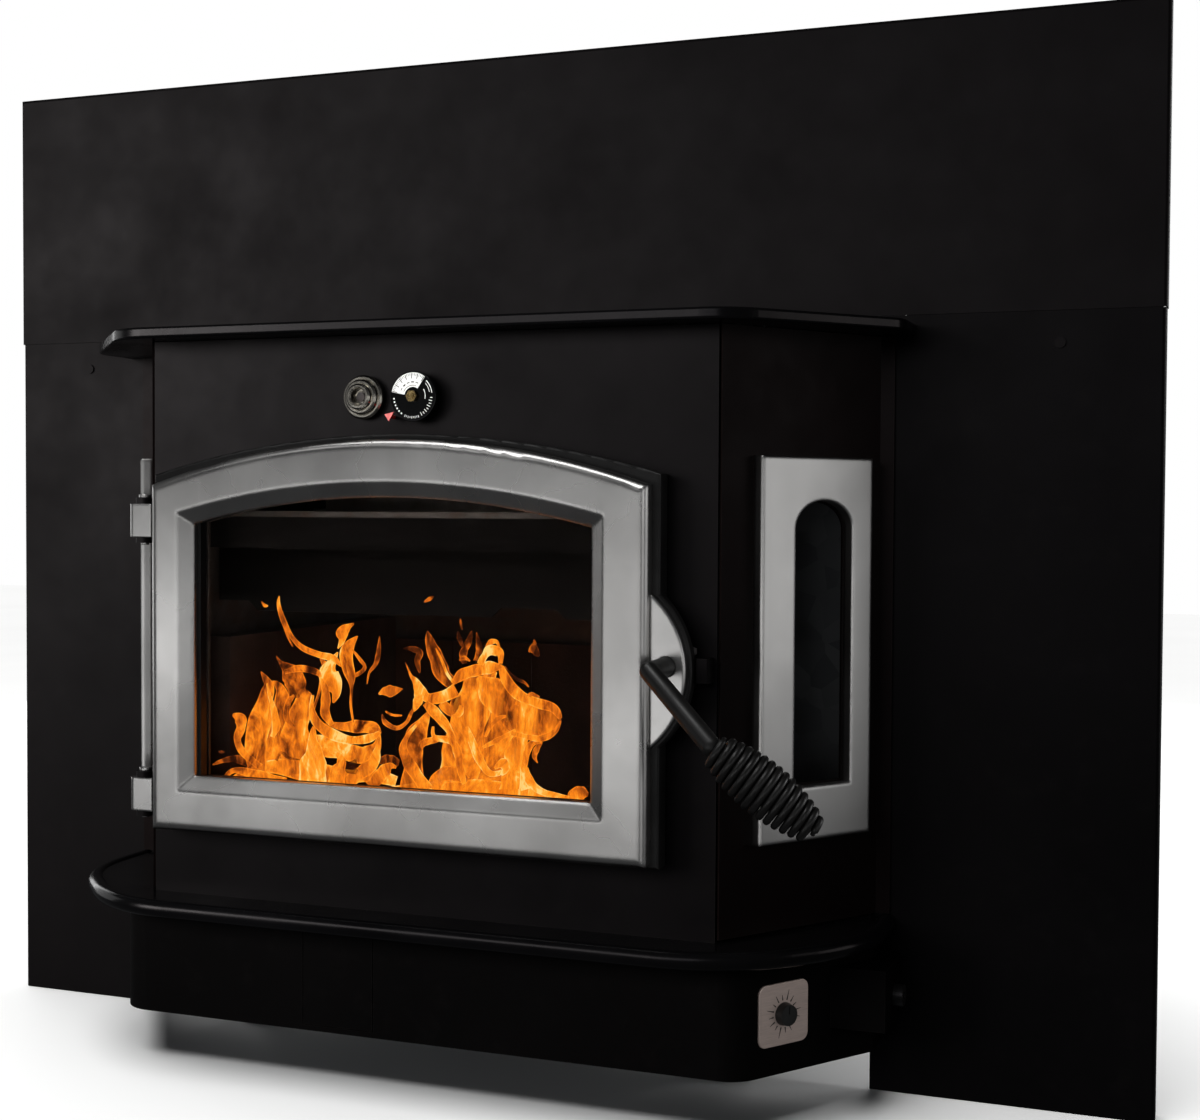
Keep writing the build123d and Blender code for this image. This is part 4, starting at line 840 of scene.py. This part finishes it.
# large cards for the bright metal: two in front, stacked, and one at the right for the slanted trim
only(softbox("metal_front", (-0.55, -3.2, 0.16), (-0.1, -0.2, 0.40), (4.6, 0.60), 1.55 * math.pi * 4.6 * 0.60), bright)
only(softbox("metal_low", (-1.5, -3.2, -0.50), (0.0, -0.2, 0.3), (2.8, 0.66), 0.22 * math.pi * 2.8 * 0.66), bright)
only(softbox("metal_high", (-1.5, -3.2, 0.90), (0.0, -0.2, 0.6), (2.8, 0.66), 0.10 * math.pi * 2.8 * 0.66), bright)
only(softbox("metal_upper", (-1.1, -1.9, 2.0), (0.0, -0.2, 0.4), (1.6, 0.6), 0.8 * math.pi * 0.96), bright)
only(softbox("metal_right", (2.2, -1.8, 0.45), (0.0, -0.2, 0.45), (1.0, 1.3), 0.9 * math.pi * 1.3), bright)
only(softbox("right_card", (2.6, 0.10, 0.70), (0.35, -0.1, 0.5), (1.4, 1.3), 0.75 * math.pi * 1.4 * 1.3), bright)
only(softbox("right_paint", (2.6, 0.10, 0.95), (0.35, -0.1, 0.6), (1.4, 0.9), 1.0 * math.pi * 1.4 * 0.9, (1.0, 0.9, 0.9)), dark)
only(softbox("metal_overhead", (-0.3, -0.9, 2.4), (0.0, -0.2, 0.6), (1.8, 0.5), 4.5 * math.pi * 1.8 * 0.5), bright)

# a small lamp for the white enamel of the dial and the light control plate
enamel = [nodes[n] for n in ("thermo_scale", "thermo_pointer")] + [bpy.data.objects["dial_ticks_white"]]
only(softbox("dial_lamp", (-0.5, -1.1, 1.0), (-0.05, -0.22, 0.725), (0.5, 0.4), 20.0 * math.pi * 0.2), enamel)
only(softbox("plate_lamp", (1.5, -0.9, 0.4), (0.35, -0.2, 0.113), (0.5, 0.5), 3.0 * math.pi * 0.25), [nodes["control_plate"]])

# the black paint is lit from the upper left, falling off to the right and downwards
only(softbox("paint_left", (-3.1, -3.2, 1.4), (-0.3, 0.0, 0.8), (1.6, 1.6), 7.6 * math.pi * 2.56, (1.0, 0.93, 0.93)), dark)
only(softbox("paint_mid", (-1.2, -3.2, 1.55), (0.0, 0.0, 0.8), (2.0, 1.2), 2.4 * math.pi * 2.4, (1.0, 0.93, 0.95)), dark)
only(softbox("paint_right", (0.4, -3.2, 1.6), (0.4, 0.0, 0.8), (1.2, 1.0), 1.7 * math.pi * 1.2, (1.0, 0.94, 1.0)), dark)
only(softbox("paint_low_left", (-3.2, -3.2, 0.2), (-0.5, 0.0, 0.4), (1.4, 0.8), 1.5 * math.pi * 1.12, (1.0, 0.93, 0.93)), dark)
# behind the surround: three cards that show the jacket, collar and panel backs in the rear views
softbox("rear_fill", (0.4, 3.2, 1.9), (0.0, 0.3, 0.6), (2.4, 1.6), 2.2 * math.pi * 3.84)
softbox("rear_left", (-3.0, 2.0, 1.0), (-0.2, 0.3, 0.5), (1.6, 1.8), 2.6 * math.pi * 2.88)
softbox("rear_right", (3.0, 2.0, 1.0), (0.2, 0.3, 0.5), (1.6, 1.8), 2.6 * math.pi * 2.88)
# a left card that only the left flank sees
only(softbox("left_card", (-2.7, 0.10, 0.7), (-0.35, -0.1, 0.5), (1.4, 1.3), 0.8 * math.pi * 1.82), bright + dark)

# one lamp only for the floor, so the ground stays pale round a black stove
wash = bpy.data.lights.new("floor_wash", "SUN")
wash.energy = 3.5
wash.angle = math.radians(50)
wash_ob = bpy.data.objects.new("floor_wash", wash)
sc.collection.objects.link(wash_ob)
wash_ob.location = (0.0, 0.0, 5.0)
wash_ob.rotation_euler = (math.radians(12), math.radians(-8), 0.0)
only(wash_ob, [floor])
floor.visible_diffuse = False
floor.visible_glossy = False
floor.visible_shadow = False

cam = bpy.data.cameras.new("camera")
cam.sensor_width = 36.0
cam.lens = CAM_F * 36.0 / 1200.0
cam.clip_start, cam.clip_end = 0.05, 60.0
cam_ob = bpy.data.objects.new("camera", cam)
sc.collection.objects.link(cam_ob)
rot = Matrix((RIGHT, UP, -FWD)).transposed()
cam_ob.matrix_world = Matrix.Translation(W(*CAM_MM)) @ rot.to_4x4()
sc.camera = cam_ob

sc.view_settings.view_transform = "Standard"
sc.view_settings.look = "None"
sc.view_settings.exposure = 0.0
